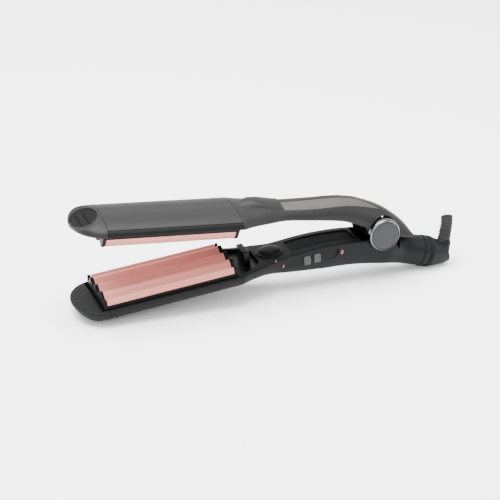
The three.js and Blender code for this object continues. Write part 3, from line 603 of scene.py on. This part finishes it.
def padOval(share, depth, grow=0.0, sides=144):
    angle = 2 * np.pi * np.arange(sides) / sides
    u = (tip["padLong"] + grow) * share * np.cos(angle)
    v = (tip["padWide"] + grow) * share * np.sin(angle)
    return np.stack([u, v, depth(u, v) + 0 * u], axis=-1)


def tipPad(arm):
    # a dished oval, deepest in the middle, crossed by ribs that come back up to its rim
    def dished(u, v):
        share = np.clip((u / tip["padLong"]) ** 2 + (v / tip["padWide"]) ** 2, 0, 1)
        dish = tip["padDish"] * (1 - share) ** 0.6
        rib = sum(np.exp(-((u - place) / tip["ribWidth"]) ** 4) for place in tip["ribs"])
        return 0.12 + dish * (1 - 0.92 * np.clip(rib, 0, 1) * (share < 0.86))

    rings = [padOval(share, dished) for share in np.linspace(0.01, 1, 90)]
    rings += [padOval(1, lambda u, v: tip["padDeep"]), padOval(0.02, lambda u, v: tip["padDeep"])]
    pad = skinOver(arm + "TipPad", np.array(rings))
    pad.data.transform(padPlace(arm))
    return pad


def addTip(arm, place, body, shell):
    cap = skinOver(arm + "TipCap", tipRings(arm))
    pocketDepth = tip["padDeep"] + tip["pocket"]
    pocket = skinOver("pocket", np.array([padOval(1, lambda u, v, level=level: level, tip["pocket"])
                                          for level in (-4, pocketDepth)]))
    pocket.data.transform(padPlace(arm))
    side = casing["barrelHalf"] - casing["rimWall"]
    recess = box("recess", (-tip["recessLength"], -side, tip["recessFloor"]), (1, side, 5))
    carve(cap, recess, pocket)
    settle(cap, place, body, shell, [arm + "_tip_cap"])
    settle(tipPad(arm), place, body, padRubber, [arm + "_tip_pad"], 50)


# ---- barrels
barrel = dict(stripHalf=5.6, stripStep=0.16, groove=0.22, grooveWidth=0.28, tabLength=3.0, tabProud=0.3)


def barrelArc(arm, inset, detailed):
    # the outer half of the section, from rim side to rim side under the split, with the flat strip's
    # edge drawn as a fine groove
    half, _, outer, _, waist = levels(barrelShape[arm], 0.0, inset)
    depth = (waist - outer) * 1.02
    split = casing["splitLevel"] - casing["gap"] / 2
    start = math.asin((waist - split) / depth)
    angle = np.linspace(start, np.pi - start, 150)
    if detailed:
        near = np.arccos((barrel["stripHalf"] + np.linspace(-0.8, 0.8, 17)) / half)
        angle = np.sort(np.concatenate([angle, near, np.pi - near]))
    y = half * np.cos(angle)
    h = np.maximum(waist - depth * np.sin(angle), outer)
    if detailed:
        fromEdge = np.abs(y) - barrel["stripHalf"]
        h = h + barrel["groove"] * np.exp(-(fromEdge / barrel["grooveWidth"]) ** 2)
        h = h + barrel["stripStep"] * np.clip(fromEdge / 0.4, 0, 1) * (np.abs(y) < 12) * (1 - np.abs(y) / 12)
    return np.stack([y, h], axis=-1)


def frameSide(arm):
    # one side wall of the frame, from the split up over the rounded rim
    half, inner, outer, _, waist = levels(barrelShape[arm], 0.0)
    low = np.linspace(casing["splitLevel"] + casing["gap"] / 2, waist, 10)[:-1]
    share = (waist - low) / ((waist - outer) * 1.02)
    under = np.stack([half * np.sqrt(1 - share**2), low], axis=-1)
    last = math.acos(((half - casing["rimWall"]) / half) ** 2.5)
    turn = last * np.linspace(0, 1, 18) ** 1.6
    over = np.stack([half * np.cos(turn) ** 0.4, waist + (inner - waist) * np.sin(turn) ** 0.4], axis=-1)
    return np.concatenate([under, over])


def addBarrel(arm, place, body, shell):
    start, end = casing["gap"] / 2, neckStart - casing["gap"]
    outline = np.concatenate([barrelArc(arm, 0, True), barrelArc(arm, casing["wall"], False)[::-1]])
    cover = extruded(arm + "BarrelCover", outline, start, end, 0)
    settle(cover, place, body, shell, [arm + "_barrel_cover"], 24)
    side = frameSide(arm)
    wallIn = casing["barrelHalf"] - casing["rimWall"]
    floor = tip["recessFloor"]
    right = np.concatenate([side, [(wallIn, floor)]])
    left = right[::-1] * (-1, 1)
    rim = extruded(arm + "BarrelFrame", np.concatenate([right, left]), start, end, 0)
    tabs = []
    for sign in (-1, 1):
        across = sorted((sign * (casing["barrelHalf"] - 1.2),
                         sign * (casing["barrelHalf"] + barrel["tabProud"] - 0.35)))
        tabs.append(roundedBlock("tab", (0.7, across[0], casing["splitLevel"] + 0.4),
                                 (0.7 + barrel["tabLength"], across[1], casing["rimLevel"] - 1.0), 0.25, 0.2))
    fuse(rim, *tabs)
    settle(rim, place, body, bandBlack, [arm + "_barrel_frame"])


# ---- corrugated plates
plate = dict(half=22.0, length=90.0, pitch=11.7, crest=6.2, valley=1.0, edge=1.3, capThick=2.3, capGrow=0.35,
             fullness=0.8)


def waveOutline(phase, grow, round):
    # height = valley + (crest - valley) * ((1 + cos(2 pi y / pitch + phase)) / 2) ** fullness
    reach = plate["half"] - plate["edge"]
    y = np.linspace(-reach, reach, 260)
    swing = (1 + np.cos(2 * np.pi * y / plate["pitch"] + phase)) / 2
    height = plate["valley"] + (plate["crest"] - plate["valley"]) * swing ** plate["fullness"] + grow - round
    wave = np.stack([y * (1 - round / plate["half"]), height], axis=-1)
    foot = plate["half"] - round
    return np.concatenate([[(-foot, 0)], wave, [(foot, 0)]])


def wavePiece(name, phase, x0, x1, grow=0.0, edge=0.25):
    # the corrugated outline carried along x, drawn in over a quarter circle at both ends
    inset, rise = cornerSteps(edge, 4)
    stations = np.concatenate([x0 + edge - rise[::-1], x1 - edge + rise])
    insets = np.concatenate([inset[::-1], inset])
    rings = [np.insert(waveOutline(phase, grow, drawnIn), 0, station, axis=1)
             for station, drawnIn in zip(stations, insets)]
    return skinOver(name, np.array(rings))


def addPlate(arm, place, body, phase):
    heated = wavePiece(arm + "CrimpPlate", phase, 0, plate["length"])
    settle(heated, place, body, platePink, [arm + "_crimp_plate"], 40)
    gap = casing["gap"]
    ends = dict(Front=-gap - plate["capThick"], Rear=plate["length"] + gap)
    for word, start in ends.items():
        cap = wavePiece(arm + "PlateCap" + word, phase, start, start + plate["capThick"], plate["capGrow"], 0.4)
        settle(cap, place, body, bandBlack, [arm + "_plate_cap_" + word.lower()], 40)


# ---- necks
neck = dict(trayThick=1.6, postPlace=104.3, postThick=4.5, postLength=15.5, postHeight=6.3,
            postRound=0.7, pocket=1.2)


def recessOutline(start, inset):
    half = casing["barrelHalf"] - casing["rimWall"] - 2.3 - inset
    end = casing["recessEnd"] - inset
    near = bezier((start, -half), (neckStart + 7, -half + 1.3), (end - 2, -half + 7), (end, -8), 40)
    return np.concatenate([near, near[::-1] * (1, -1)])


def addNeckCover(arm, place, body, withPost):
    low = casing["recessLevel"] - neck["trayThick"]
    tray = extruded(arm + "NeckCover", recessOutline(neckStart, casing["gap"]), low, casing["recessLevel"], 2)
    across, thick = neck["postLength"] / 2, neck["postThick"] / 2
    if withPost:
        post = roundedBlock("post", (neck["postPlace"] - thick, -across, low + 1),
                            (neck["postPlace"] + thick, across, neck["postHeight"]), neck["postRound"], 0.5)
        fuse(tray, post)
    else:
        grow = neck["pocket"]
        pocket = roundedBlock("pocket", (neck["postPlace"] - thick - grow, -across - grow, low + 0.7),
                              (neck["postPlace"] + thick + grow, across + grow, 6), 1.2, 0.4)
        carve(tray, pocket)
    settle(tray, place, body, glossBlack, [arm + "_neck_cover"])


# ---- handles
panel = dict(start=137.0, end=186.0, half=8.8, thick=1.6, sunk=1.2, corner=1.0)
hinge = dict(discRadius=11.7, discGap=0.7, discThick=4.2, hubRadius=8.4, knuckleHalf=6.8, pinRadius=2.8,
             pinEnd=13.4, springRadius=5.4, springWire=0.7, springTurns=3)
switch = dict(pocketFace=-13.1, left=131.2, right=170.4, top=-4.4, bottom=-12.0, middle=-8.2, travelEnd=166.5,
              plateEnd=156.8, plateFace=-13.75, gripFace=-15.3, grips=(143.3, 150.9), gripLength=5.2)
leaf = dict(left=128.6, right=202.6, deep=0.9, sunk=0.06, clear=0.28)


def panelStrip(name, shape, line, x0, x1, half, low, high, corner):
    # a rounded strip that follows the handle's inner level
    x = np.linspace(x0, x1, 60)
    fromEnd = np.minimum(x - x0, x1 - x)
    arc = corner - np.sqrt(np.clip(corner**2 - (corner - fromEnd) ** 2, 0, None))
    drawnIn = np.where(fromEnd < corner, arc, 0)
    y = np.linspace(-1, 1, 28)[None, :] * (half - drawnIn)[:, None]
    level = smoothCurve(shape["inner"], x)[:, None]
    return betweenSheets(name, alongLine(line, x[:, None], y, level + high),
                         alongLine(line, x[:, None], y, level + low))


def addPanel(arm, place, body, shape, line, x1):
    gap = casing["gap"]
    strip = panelStrip(arm + "HandlePanel", shape, line, panel["start"] + gap, x1 - gap, panel["half"] - gap,
                       -panel["sunk"] - panel["thick"], -panel["sunk"], panel["corner"])
    settle(strip, place, body, panelRubber, [arm + "_handle_panel"])
    return panelStrip("panelCut", shape, line, panel["start"], x1, panel["half"], -8, 6, panel["corner"] + gap)


def discPockets(x, z, inside):
    radius = hinge["discRadius"] + hinge["discGap"]
    return [rod("discPocket", radius, inside, 40, x, z), rod("discPocket", radius, -40, -inside, x, z)]


def switchOutline(inset, plateOnly=False):
    # pointed at the left, full in the middle, pointed high up at the right
    left, top, bottom = switch["left"] + 1.6 * inset, switch["top"] - inset, switch["bottom"] + inset
    over = bezier((left, switch["middle"]), (left + 3.4, switch["middle"] + 2.4),
                  (left + 8, top), (left + 15, top))
    under = bezier((left + 15, bottom), (left + 8, bottom), (left + 3.4, switch["middle"] - 2.4),
                   (left, switch["middle"]))
    if plateOnly:
        end = [(switch["plateEnd"], top), (switch["plateEnd"], bottom)]
        return np.concatenate([over, end, under[:-1]])
    rounded = bezier((switch["travelEnd"] - 3, top), (switch["travelEnd"] + 1, top),
                     (switch["right"] - 1, top - 0.4), (switch["right"], top - 1.6))
    back = bezier((switch["right"], top - 1.6), (switch["right"] - 1, bottom + 1),
                  (switch["travelEnd"] + 1, bottom), (switch["travelEnd"] - 3, bottom))
    return np.concatenate([over, rounded, back[1:], under[:-1]])


def neckRecess():
    # the room for the neck's tray, from just under the tray to above the rim
    floor = casing["recessLevel"] - neck["trayThick"] - casing["gap"]
    return extruded("recess", recessOutline(neckStart - 1, 0), floor, 6, 2)


def lowerHandle(panelCut):
    place, level = arms["hingePlace"], arms["hingeLevel"]
    ends = (neckStart, tail["end"])
    skin = skinOver("lowerHandleShell", armRings(lowerShape, bentLine, np.linspace(*ends, 190)))
    along = np.linspace(ends[0] - 1, ends[1] + 2, 60)
    hollow = skinOver("hollow", armRings(lowerShape, bentLine, along, casing["wall"], 72))
    core = skinOver("core", armRings(lowerShape, bentLine, np.linspace(*ends, 80), casing["wall"] / 2, 72))
    recess = neckRecess()
    slotX = np.linspace(place - 16, place + 15, 12)[:, None]
    slotY = np.array([[-12.7, 12.7]])
    hingeSlot = betweenSheets("hingeSlot", alongLine(bentLine, slotX, slotY, 8),
                              alongLine(bentLine, slotX, slotY, -10))
    bore = dial["radius"] + 0.5
    knobHole = lathed("knobHole", [(bore, -8), (bore, 6)], centre=(dial["place"], 0, 0))
    pocket = extruded("switchPocket", switchOutline(0), -40, switch["pocketFace"], 1)
    backing = box("switchBacking", (switch["left"] - 1, switch["pocketFace"] - 0.2, switch["bottom"] - 1),
                  (switch["right"] + 1, switch["pocketFace"] + 1.6, switch["top"] + 1))
    carve(skin, hollow)
    fuse(skin, keepInside(backing, skinCopy(core)))
    carve(skin, recess, panelCut, hingeSlot, knobHole, pocket)
    for sign in (-1, 1):
        inside, outside = sorted((sign * (hinge["knuckleHalf"] + 0.5), sign * hinge["pinEnd"]))
        hub = rod("hub", hinge["hubRadius"], inside, outside, place, level)
        web = box("web", (place - 6.5, inside, -24), (place + 6.5, outside, level - 3))
        fuse(skin, hub, keepInside(web, skinCopy(core)))
    bpy.data.objects.remove(core)
    return carve(skin, rod("pinBore", hinge["pinRadius"] + casing["gap"], -30, 30, place, level),
                 *discPockets(place, level, hinge["pinEnd"]))


def skinCopy(piece):
    copy = piece.copy()
    copy.data = piece.data.copy()
    bpy.context.scene.collection.objects.link(copy)
    return copy


def leafSheet(grow, inset):
    # the inlay's leaf in plan, laid on the handle's outer side at a depth
    upperEdge = bezier((128.2, 10.4), (150, 11.6), (185, 10.4), (203, 6.5), 60)
    lowerEdge = bezier((129, 0.6), (160, 0.4), (190, 1.6), (203, 6.5), 60)
    x = np.linspace(leaf["left"] - grow, leaf["right"] + grow, 110)
    high = np.interp(x, upperEdge[:, 0], upperEdge[:, 1]) + grow
    low = np.interp(x, lowerEdge[:, 0], lowerEdge[:, 1]) - grow
    y = low[:, None] + (high - low)[:, None] * np.linspace(0, 1, 22)[None, :]
    h = sectionHeight(upperShape, x[:, None], y, -1, inset)
    return np.stack(np.broadcast_arrays(x[:, None], y, h), axis=-1)


def upperHandle(panelCut):
    place = arms["hingePlace"]
    ends = (neckStart, 231)
    outside = armRings(upperShape, straightLine, np.linspace(*ends, 260), 0, 176, restLift)
    skin = skinOver("upperHandleShell", outside)
    inside = armRings(upperShape, straightLine, np.linspace(ends[0] - 1, 188, 60), casing["wall"], 72)
    hollow = skinOver("hollow", inside)
    core = skinOver("core", armRings(upperShape, straightLine, np.linspace(*ends, 90), casing["wall"] / 2, 72))
    hood = armRings(upperShape, straightLine, np.linspace(188, ends[1] - casing["wall"], 40), casing["wall"], 72)
    mouth = hood[..., 2] > smoothCurve(upperShape["inner"], hood[..., 0]) - casing["wall"] - casing["waistDrop"]
    hood[..., 2] = np.where(mouth, 40, hood[..., 2])
    recess = neckRecess()
    carve(skin, hollow, skinOver("hood", hood), recess, panelCut)
    hub = rod("hub", hinge["hubRadius"], -hinge["knuckleHalf"], hinge["knuckleHalf"], place, axisLevel)
    web = keepInside(roundedBlock("web", (place - 14, -5.4, -12), (place + 2, 5.4, axisLevel), 3, 0.3), core)
    knuckle = carve(fuse(hub, web), rod("springRoom", hinge["hubRadius"] + 4, -2.7, 2.7, place, axisLevel))
    fuse(skin, knuckle)
    inlayPocket = betweenSheets("inlayPocket", leafSheet(leaf["clear"], -2),
                                leafSheet(leaf["clear"], leaf["deep"] + 0.2))
    pinBore = rod("pinBore", hinge["pinRadius"] + casing["gap"], -30, 30, place, axisLevel)
    return carve(skin, inlayPocket, pinBore, *discPockets(place, axisLevel, hinge["knuckleHalf"] + 0.5))


# ---- dial
dial = dict(place=123.6, radius=6.9, bezelRadius=9.9, top=0.7, flutes=40, fluteDepth=0.22, marks=9)


def addDial():
    sides = 480
    angle = 2 * np.pi * np.arange(sides) / sides
    flute = dial["fluteDepth"] * (1 + np.cos(dial["flutes"] * angle)) / 2
    r, top = dial["radius"], dial["top"]
    profile = [(2.4, -8, 0), (2.4, -2.6, 0), (r - 0.3, -2.6, 1), (r, -2.2, 1), (r, top - 1.1, 1),
               (r - 0.25, top - 0.7, 0.6), (r - 0.7, top - 0.35, 0), (r - 1.5, top - 0.1, 0),
               (r - 2.2, top + 0.02, 0), (r - 3.6, top + 0.18, 0), (1.6, top + 0.3, 0), (0.2, top + 0.32, 0)]
    rings = [np.stack([(radius - flute * share) * np.cos(angle), (radius - flute * share) * np.sin(angle),
                       np.full(sides, height)], axis=-1) for radius, height, share in profile]
    knob = skinOver("dialKnob", np.array(rings) + np.array([dial["place"], 0, 0]))
    pointer = roundedBlock("pointer", (dial["place"] - 0.35, -dial["radius"] + 1.0, top - 0.2),
                           (dial["place"] + 0.35, -dial["radius"] + 2.9, top + 0.22), 0.3, 0.12)
    fuse(knob, pointer)
    settle(knob, lowerPlace, "dial", shadedLowerGrey, ["dial_knob"], 35)
    inner, foot = dial["radius"] + casing["gap"], casing["rimLevel"] + 0.2
    bezel = lathed("dialBezel", [
        (inner, foot), (dial["bezelRadius"], foot), (dial["bezelRadius"] - 0.12, foot + 0.45),
        (dial["bezelRadius"] - 0.5, foot + 0.65), (inner + 0.9, -1.02), (inner + 0.45, -0.94),
        (inner + 0.15, -1.0), (inner, -1.2), (inner, foot)], 128, centre=(dial["place"], 0, 0))
    ticks = []
    for k in range(dial["marks"]):
        turn = math.radians(-90 + (k - (dial["marks"] - 1) / 2) * 30)
        tick = roundedBlock("tick", (8.2, -0.14, -1.5), (9.1, 0.14, -0.92), 0.1, 0.05)
        tick.data.transform(Matrix.Translation((dial["place"], 0, 0)) @ Matrix.Rotation(turn, 4, "Z"))
        ticks.append(tick)
    fuse(bezel, *ticks)
    settle(bezel, lowerPlace, "lower_arm", bandBlack, ["dial_bezel"], 35)


# ---- side switch and marks
def wallSheet(x, h, proud):
    # points on the lower handle's near side wall, standing proud of it
    return alongLine(bentLine, x, -sectionHalf(lowerShape, x, h) - proud, h)


def addSwitch():
    face, floor = switch["plateFace"], switch["pocketFace"]
    outline = switchOutline(0.3, True)
    slider = extruded("switchSlider", outline, face, floor - 0.05, 1)
    settle(slider, lowerPlace, "switch", bandBlack, ["switch_slider"])
    for word, start in zip(("Front", "Rear"), switch["grips"]):
        z = np.linspace(switch["bottom"] + 0.5, switch["top"] - 0.5, 90)
        ridge = 0.16 * np.cos(2 * np.pi * (z - z[0]) / 1.35)
        nearEnd = np.minimum(z - z[0], z[-1] - z)
        drawnIn = np.clip(0.7 - nearEnd, 0, 0.7) ** 2
        angle = 2 * np.pi * np.arange(48)[None, :] / 48
        halfX = (switch["gripLength"] / 2 - drawnIn - 0.35 * ((z - z.mean()) / 3.5) ** 2)[:, None]
        reach = (face - 0.05 - switch["gripFace"]) + ridge[:, None] - drawnIn[:, None]
        x = start + switch["gripLength"] / 2 + halfX * np.sign(np.cos(angle)) * np.abs(np.cos(angle)) ** 0.5
        out = np.clip(np.sin(angle), 0, 1) ** 0.5 * (1 - 0.45 * np.exp(-((x - x.mean()) / 1.1) ** 2))
        points = np.stack(np.broadcast_arrays(x, face - 0.05 - reach * out, z[:, None]), axis=-1)
        grip = skinOver("switchGrip" + word, points)
        settle(grip, lowerPlace, "switch", gripGrey, ["switch_grip_" + word.lower()], 40)
    lens = lathed("indicatorLens", [
        (0.75, 9.6), (0.75, -floor + 0.1), (0.6, -floor + 0.35), (0.3, -floor + 0.5), (0.05, -floor + 0.54)],
        40, "Y", (switch["left"] + 1.9, 0, switch["middle"]))
    settle(lens, lowerPlace, "lower_arm", lensClear, ["indicator_lens"])


marks = dict(proud=0.05, sunk=0.1, barLeft=127.8, barRight=128.4, barLow=-9.5, barHigh=-6.9, ringPlace=173.2,
             ringLevel=-7.6, ringHalf=0.95, ringHigh=1.55, ringHole=0.62, arrowPlace=122.6, arrowStart=-14.1,
             arrowLong=1.4, arrowHalf=0.85)


def addMarks():
    # printed marks, a twentieth of a millimetre proud of the wall: a bar, a ring and the dial's arrowhead
    thin = (marks["proud"], -marks["sunk"])
    x, h = np.meshgrid(np.linspace(marks["barLeft"], marks["barRight"], 4),
                       np.linspace(marks["barLow"], marks["barHigh"], 10), indexing="ij")
    bar = betweenSheets("markOn", *(wallSheet(x, h, proud) for proud in thin))
    angle, size = np.meshgrid(np.linspace(0, 2 * np.pi, 61), (marks["ringHole"], 1.0), indexing="ij")
    x = marks["ringPlace"] + marks["ringHalf"] * size * np.cos(angle)
    h = marks["ringLevel"] + marks["ringHigh"] * size * np.sin(angle)
    rings = np.concatenate([wallSheet(x, h, thin[0]), wallSheet(x, h, thin[1])[:, ::-1]], axis=1)[:-1]
    sides = rings.shape[1]
    index = np.arange(rings.shape[0] * sides).reshape(-1, sides)
    below = np.roll(index, -1, axis=0)
    quads = np.stack([index, below, np.roll(below, -1, axis=1), np.roll(index, -1, axis=1)], axis=-1).reshape(-1, 4)
    ring = makePiece("markOff", rings, quads.tolist())
    share = np.linspace(0.02, 1, 8)[:, None]
    y = marks["arrowStart"] - marks["arrowLong"] * share + 0 * np.linspace(-1, 1, 8)[None, :]
    x = marks["arrowPlace"] + marks["arrowHalf"] * share * np.linspace(-1, 1, 8)[None, :]
    top = sectionHeight(lowerShape, x, y, 1)
    arrow = betweenSheets("markDial", *(alongLine(bentLine, x, y, top + proud) for proud in thin))
    for mark in (bar, ring, arrow):
        settle(mark, lowerPlace, "lower_arm", pinkPaint)


# ---- hinge
def addHinge():
    near = hinge["pinEnd"] + casing["gap"]
    far = near + hinge["discThick"]
    face = hinge["discRadius"] - 1.5
    r = hinge["discRadius"]
    centre = (arms["hingePlace"], 0, arms["hingeLevel"])
    for word, sign in (("near", 1), ("far", -1)):
        disc = [(0.05, near), (face, near), (face, far - 0.35), (face - 0.12, far - 0.12),
                (face - 0.4, far - 0.02), (face - 2, far + 0.02), (0.05, far + 0.05)]
        inner = face + 0.2
        rim = [(inner, near), (r - 0.1, near), (r, near + 0.2), (r, far - 1.5), (r - 0.12, far - 1.0),
               (r - 0.4, far - 0.5), (r - 0.8, far - 0.15), (inner + 0.35, far), (inner + 0.1, far - 0.08),
               (inner, far - 0.3), (inner, near)]
        looks = (("Disc", disc, "silver_grey", discGrey), ("Ring", rim, "chrome", chromeRim))
        for kind, profile, slot, finish in looks:
            outline = [(a, sign * b) for a, b in profile]
            piece = lathed("hinge" + kind + word.capitalize(), outline, 160, "Y", centre)
            settle(piece, lowerPlace, "lower_arm", finish, ["hinge_" + kind.lower() + "_" + word], 25)
    turns = hinge["springTurns"]
    t = np.linspace(0, turns * 2 * np.pi, 40 * turns)
    lead = hinge["springWire"] * 2.1 / (2 * np.pi)
    radius = hinge["springRadius"]
    coil = np.stack([radius * np.sin(t), lead * (t - t[-1] / 2), -radius * np.cos(t)], axis=-1)
    leg = np.linspace(11, 1, 12)[:, None] * (1, 0, 0) + coil[0]
    path = np.concatenate([leg, coil]) + np.array(centre)
    spring = wireAlong("hingeSpring", path, hinge["springWire"])
    settle(spring, lowerPlace, "lower_arm", plainSteel, ["hinge_spring"], 60)


def wireAlong(name, path, radius, sides=12):
    # circles square to the path, each turned as little as possible from the one before it
    ahead = np.gradient(path, axis=0)
    ahead /= np.linalg.norm(ahead, axis=1)[:, None]
    side = np.cross(ahead, (0, 1, 0.001))
    side /= np.linalg.norm(side, axis=1)[:, None]
    up = np.cross(side, ahead)
    angle = 2 * np.pi * np.arange(sides)[None, :, None] / sides
    return skinOver(name, path[:, None] + radius * (side[:, None] * np.cos(angle) + up[:, None] * np.sin(angle)))


# ---- tail
relief = dict(radius=4.75, taper=0.4, seat=9.9, length=17.0, place=12.2, lean=12.0, straight=9.0,
              bendRadius=16.0, bore=1.9, boreDeep=11.0, pitch=1.9, ribDeep=0.5)
tailMiddle = float(smoothCurve(lowerShape["inner"], tail["end"])
                   + smoothCurve(lowerShape["outer"], tail["end"])) / 2
tailPlace = (
    lowerPlace
    @ Matrix.Translation(alongLine(bentLine, np.array(tail["end"]), 0.0, tailMiddle).tolist())
    @ Matrix.Rotation(bend["angle"] + math.pi / 2, 4, "Y")
)


def reliefRing(s, radius, sides=40):
    # circles square to a line that runs straight out of the seat and then bends over
    turn = max(0.0, s - relief["straight"]) / relief["bendRadius"]
    out = relief["seat"] + casing["gap"] + min(s, relief["straight"]) + relief["bendRadius"] * math.sin(turn)
    aside = relief["bendRadius"] * (1 - math.cos(turn))
    angle = 2 * np.pi * np.arange(sides) / sides
    across = radius * np.cos(angle)
    return np.stack([across * math.sin(turn) - out, aside + across * math.cos(turn), radius * np.sin(angle)],
                    axis=-1)


def strainRelief():
    # radius = radius - taper * s / length - ribDeep * a narrow groove once per pitch
    length = relief["length"]
    s = np.linspace(0, length, 270)
    groove = np.clip(np.cos(2 * np.pi * s / relief["pitch"]) * 1.6 - 0.1, 0, 1) * (s > 1.2) * (s < length - 1.2)
    lip = 0.4 * np.clip((s - length + 0.5) / 0.5, 0, 1) ** 2
    radius = relief["radius"] - relief["taper"] * s / length - relief["ribDeep"] * groove - lip
    rings = [reliefRing(a, r) for a, r in zip(s, radius)]
    rings += [reliefRing(a, relief["bore"]) for a in np.linspace(length - 0.3, length - relief["boreDeep"], 40)]
    return skinOver("strainRelief", np.array(rings))


def addTail():
    length, r = tail["collarLength"], tail["collarRadius"]
    bandStart = length * 0.55
    bore = tail["radius"] - casing["wall"] - 0.6
    sleeve = bore + 0.3
    collar = lathed("tailCollar", [
        (bore, -6), (sleeve, -6), (sleeve, 0.3), (r - 0.45, 0.3), (r - 0.12, 0.42), (r, 0.75),
        (r, bandStart - 0.25), (r - 0.1, bandStart), (r - 1.4, bandStart), (r - 1.4, length - 0.8),
        (bore, length - 0.8), (bore, -6)], 128)
    settle(collar, tailPlace, "lower_arm", shadedLowerGrey, ["tail_collar"], 35)
    band = lathed("tailBand", [
        (r - 1.1, bandStart + 0.3), (r - 0.25, bandStart + 0.3), (r - 0.05, bandStart + 0.5),
        (r - 0.05, length - 0.25), (r - 0.25, length), (r - 1.1, length), (r - 1.1, bandStart + 0.3)], 128)
    settle(band, tailPlace, "lower_arm", padRubber, ["tail_band"], 35)
    start = length + 0.3
    end = start + tail["swivelLength"]
    x = np.linspace(0, 1, 40)
    flank = np.stack([r - 0.35 - 4.9 * x**1.1, start + 0.35 + (end - start - 0.9) * x], axis=-1).tolist()
    cap = lathed("swivelCap", [(0.1, start + 3), (bore - 2.3, start + 3), (bore - 2.3, start - 7),
                               (bore - 0.3, start - 7), (bore - 0.3, start), (r - 0.6, start)]
                 + flank + [(3.2, end - 0.2), (0.1, end)], 128)
    slant = box("slant", (-30, -30, 0), (30, 30, 30))
    slant.data.transform(Matrix.Translation((0, 0, end - 1.5)) @ Matrix.Rotation(math.radians(-24), 4, "Y"))
    seat = relief["seat"]
    boss = lathed("boss", [(0.05, 0), (5.5, 0), (5.5, seat - 1.2), (5.2, seat - 0.5), (4.7, seat - 0.05),
                           (4.5, seat), (0.05, seat)], 64)
    leanTurn = Matrix.Rotation(-math.radians(relief["lean"]), 4, "Z")
    leaning = Matrix.Translation((0, 0, start + relief["place"])) @ leanTurn
    boss.data.transform(leaning @ Matrix.Rotation(-math.pi / 2, 4, "Y"))
    fuse(carve(cap, slant), boss)
    settle(cap, tailPlace, "swivel", shadedLowerGrey, ["swivel_cap"], 35)
    sleeveOut = strainRelief()
    sleeveOut.data.transform(leaning)
    settle(sleeveOut, tailPlace, "swivel", reliefRubber, ["strain_relief"], 50)


# ---- assembly
addTip("lower", lowerPlace, "lower_arm", shadedLowerGrey)
addTip("upper", upperPlace, "upper_arm", upperGrey)
print("stage: tips")
addBarrel("lower", lowerPlace, "lower_arm", shadedLowerGrey)
addBarrel("upper", upperPlace, "upper_arm", upperGrey)
addPlate("lower", lowerPlace, "lower_arm", 0.0)
addPlate("upper", upperPlace, "upper_arm", math.pi)
print("stage: barrels and plates")
addNeckCover("lower", lowerPlace, "lower_arm", True)
addNeckCover("upper", upperPlace, "upper_arm", False)
lowerCut = addPanel("lower", lowerPlace, "lower_arm", lowerShape, bentLine, panel["end"])
settle(lowerHandle(lowerCut), lowerPlace, "lower_arm", shadedLowerGrey, ["lower_handle_shell"])
print("stage: lower handle")
upperCut = addPanel("upper", upperPlace, "upper_arm", upperShape, straightLine, panel["end"] - 8)
settle(upperHandle(upperCut), upperPlace, "upper_arm", upperGrey, ["upper_handle_shell"])
inlay = betweenSheets("gripInlay", leafSheet(0, leaf["sunk"]), leafSheet(0, leaf["deep"]))
settle(inlay, upperPlace, "upper_arm", inlaySkin, ["grip_inlay"])
print("stage: upper handle")
addDial()
addSwitch()
addMarks()
addHinge()
addTail()
print("stage: dial, switch, hinge and tail")

keptNodes = {
    plainSteel: ["hinge_pin", "dial_potentiometer", "slide_switch", "lower_heater_clamp",
                 "upper_heater_clamp", "lower_thermal_fuse", "upper_thermal_fuse"],
    bandBlack: ["lower_plate_carrier", "upper_plate_carrier"],
    heaterWhite: ["lower_heater", "upper_heater"],
    boardGreen: ["control_board"],
}
for finish, names in keptNodes.items():
    for name in names:
        for place in frame["nodes"][name].material_slots:
            place.material = finish
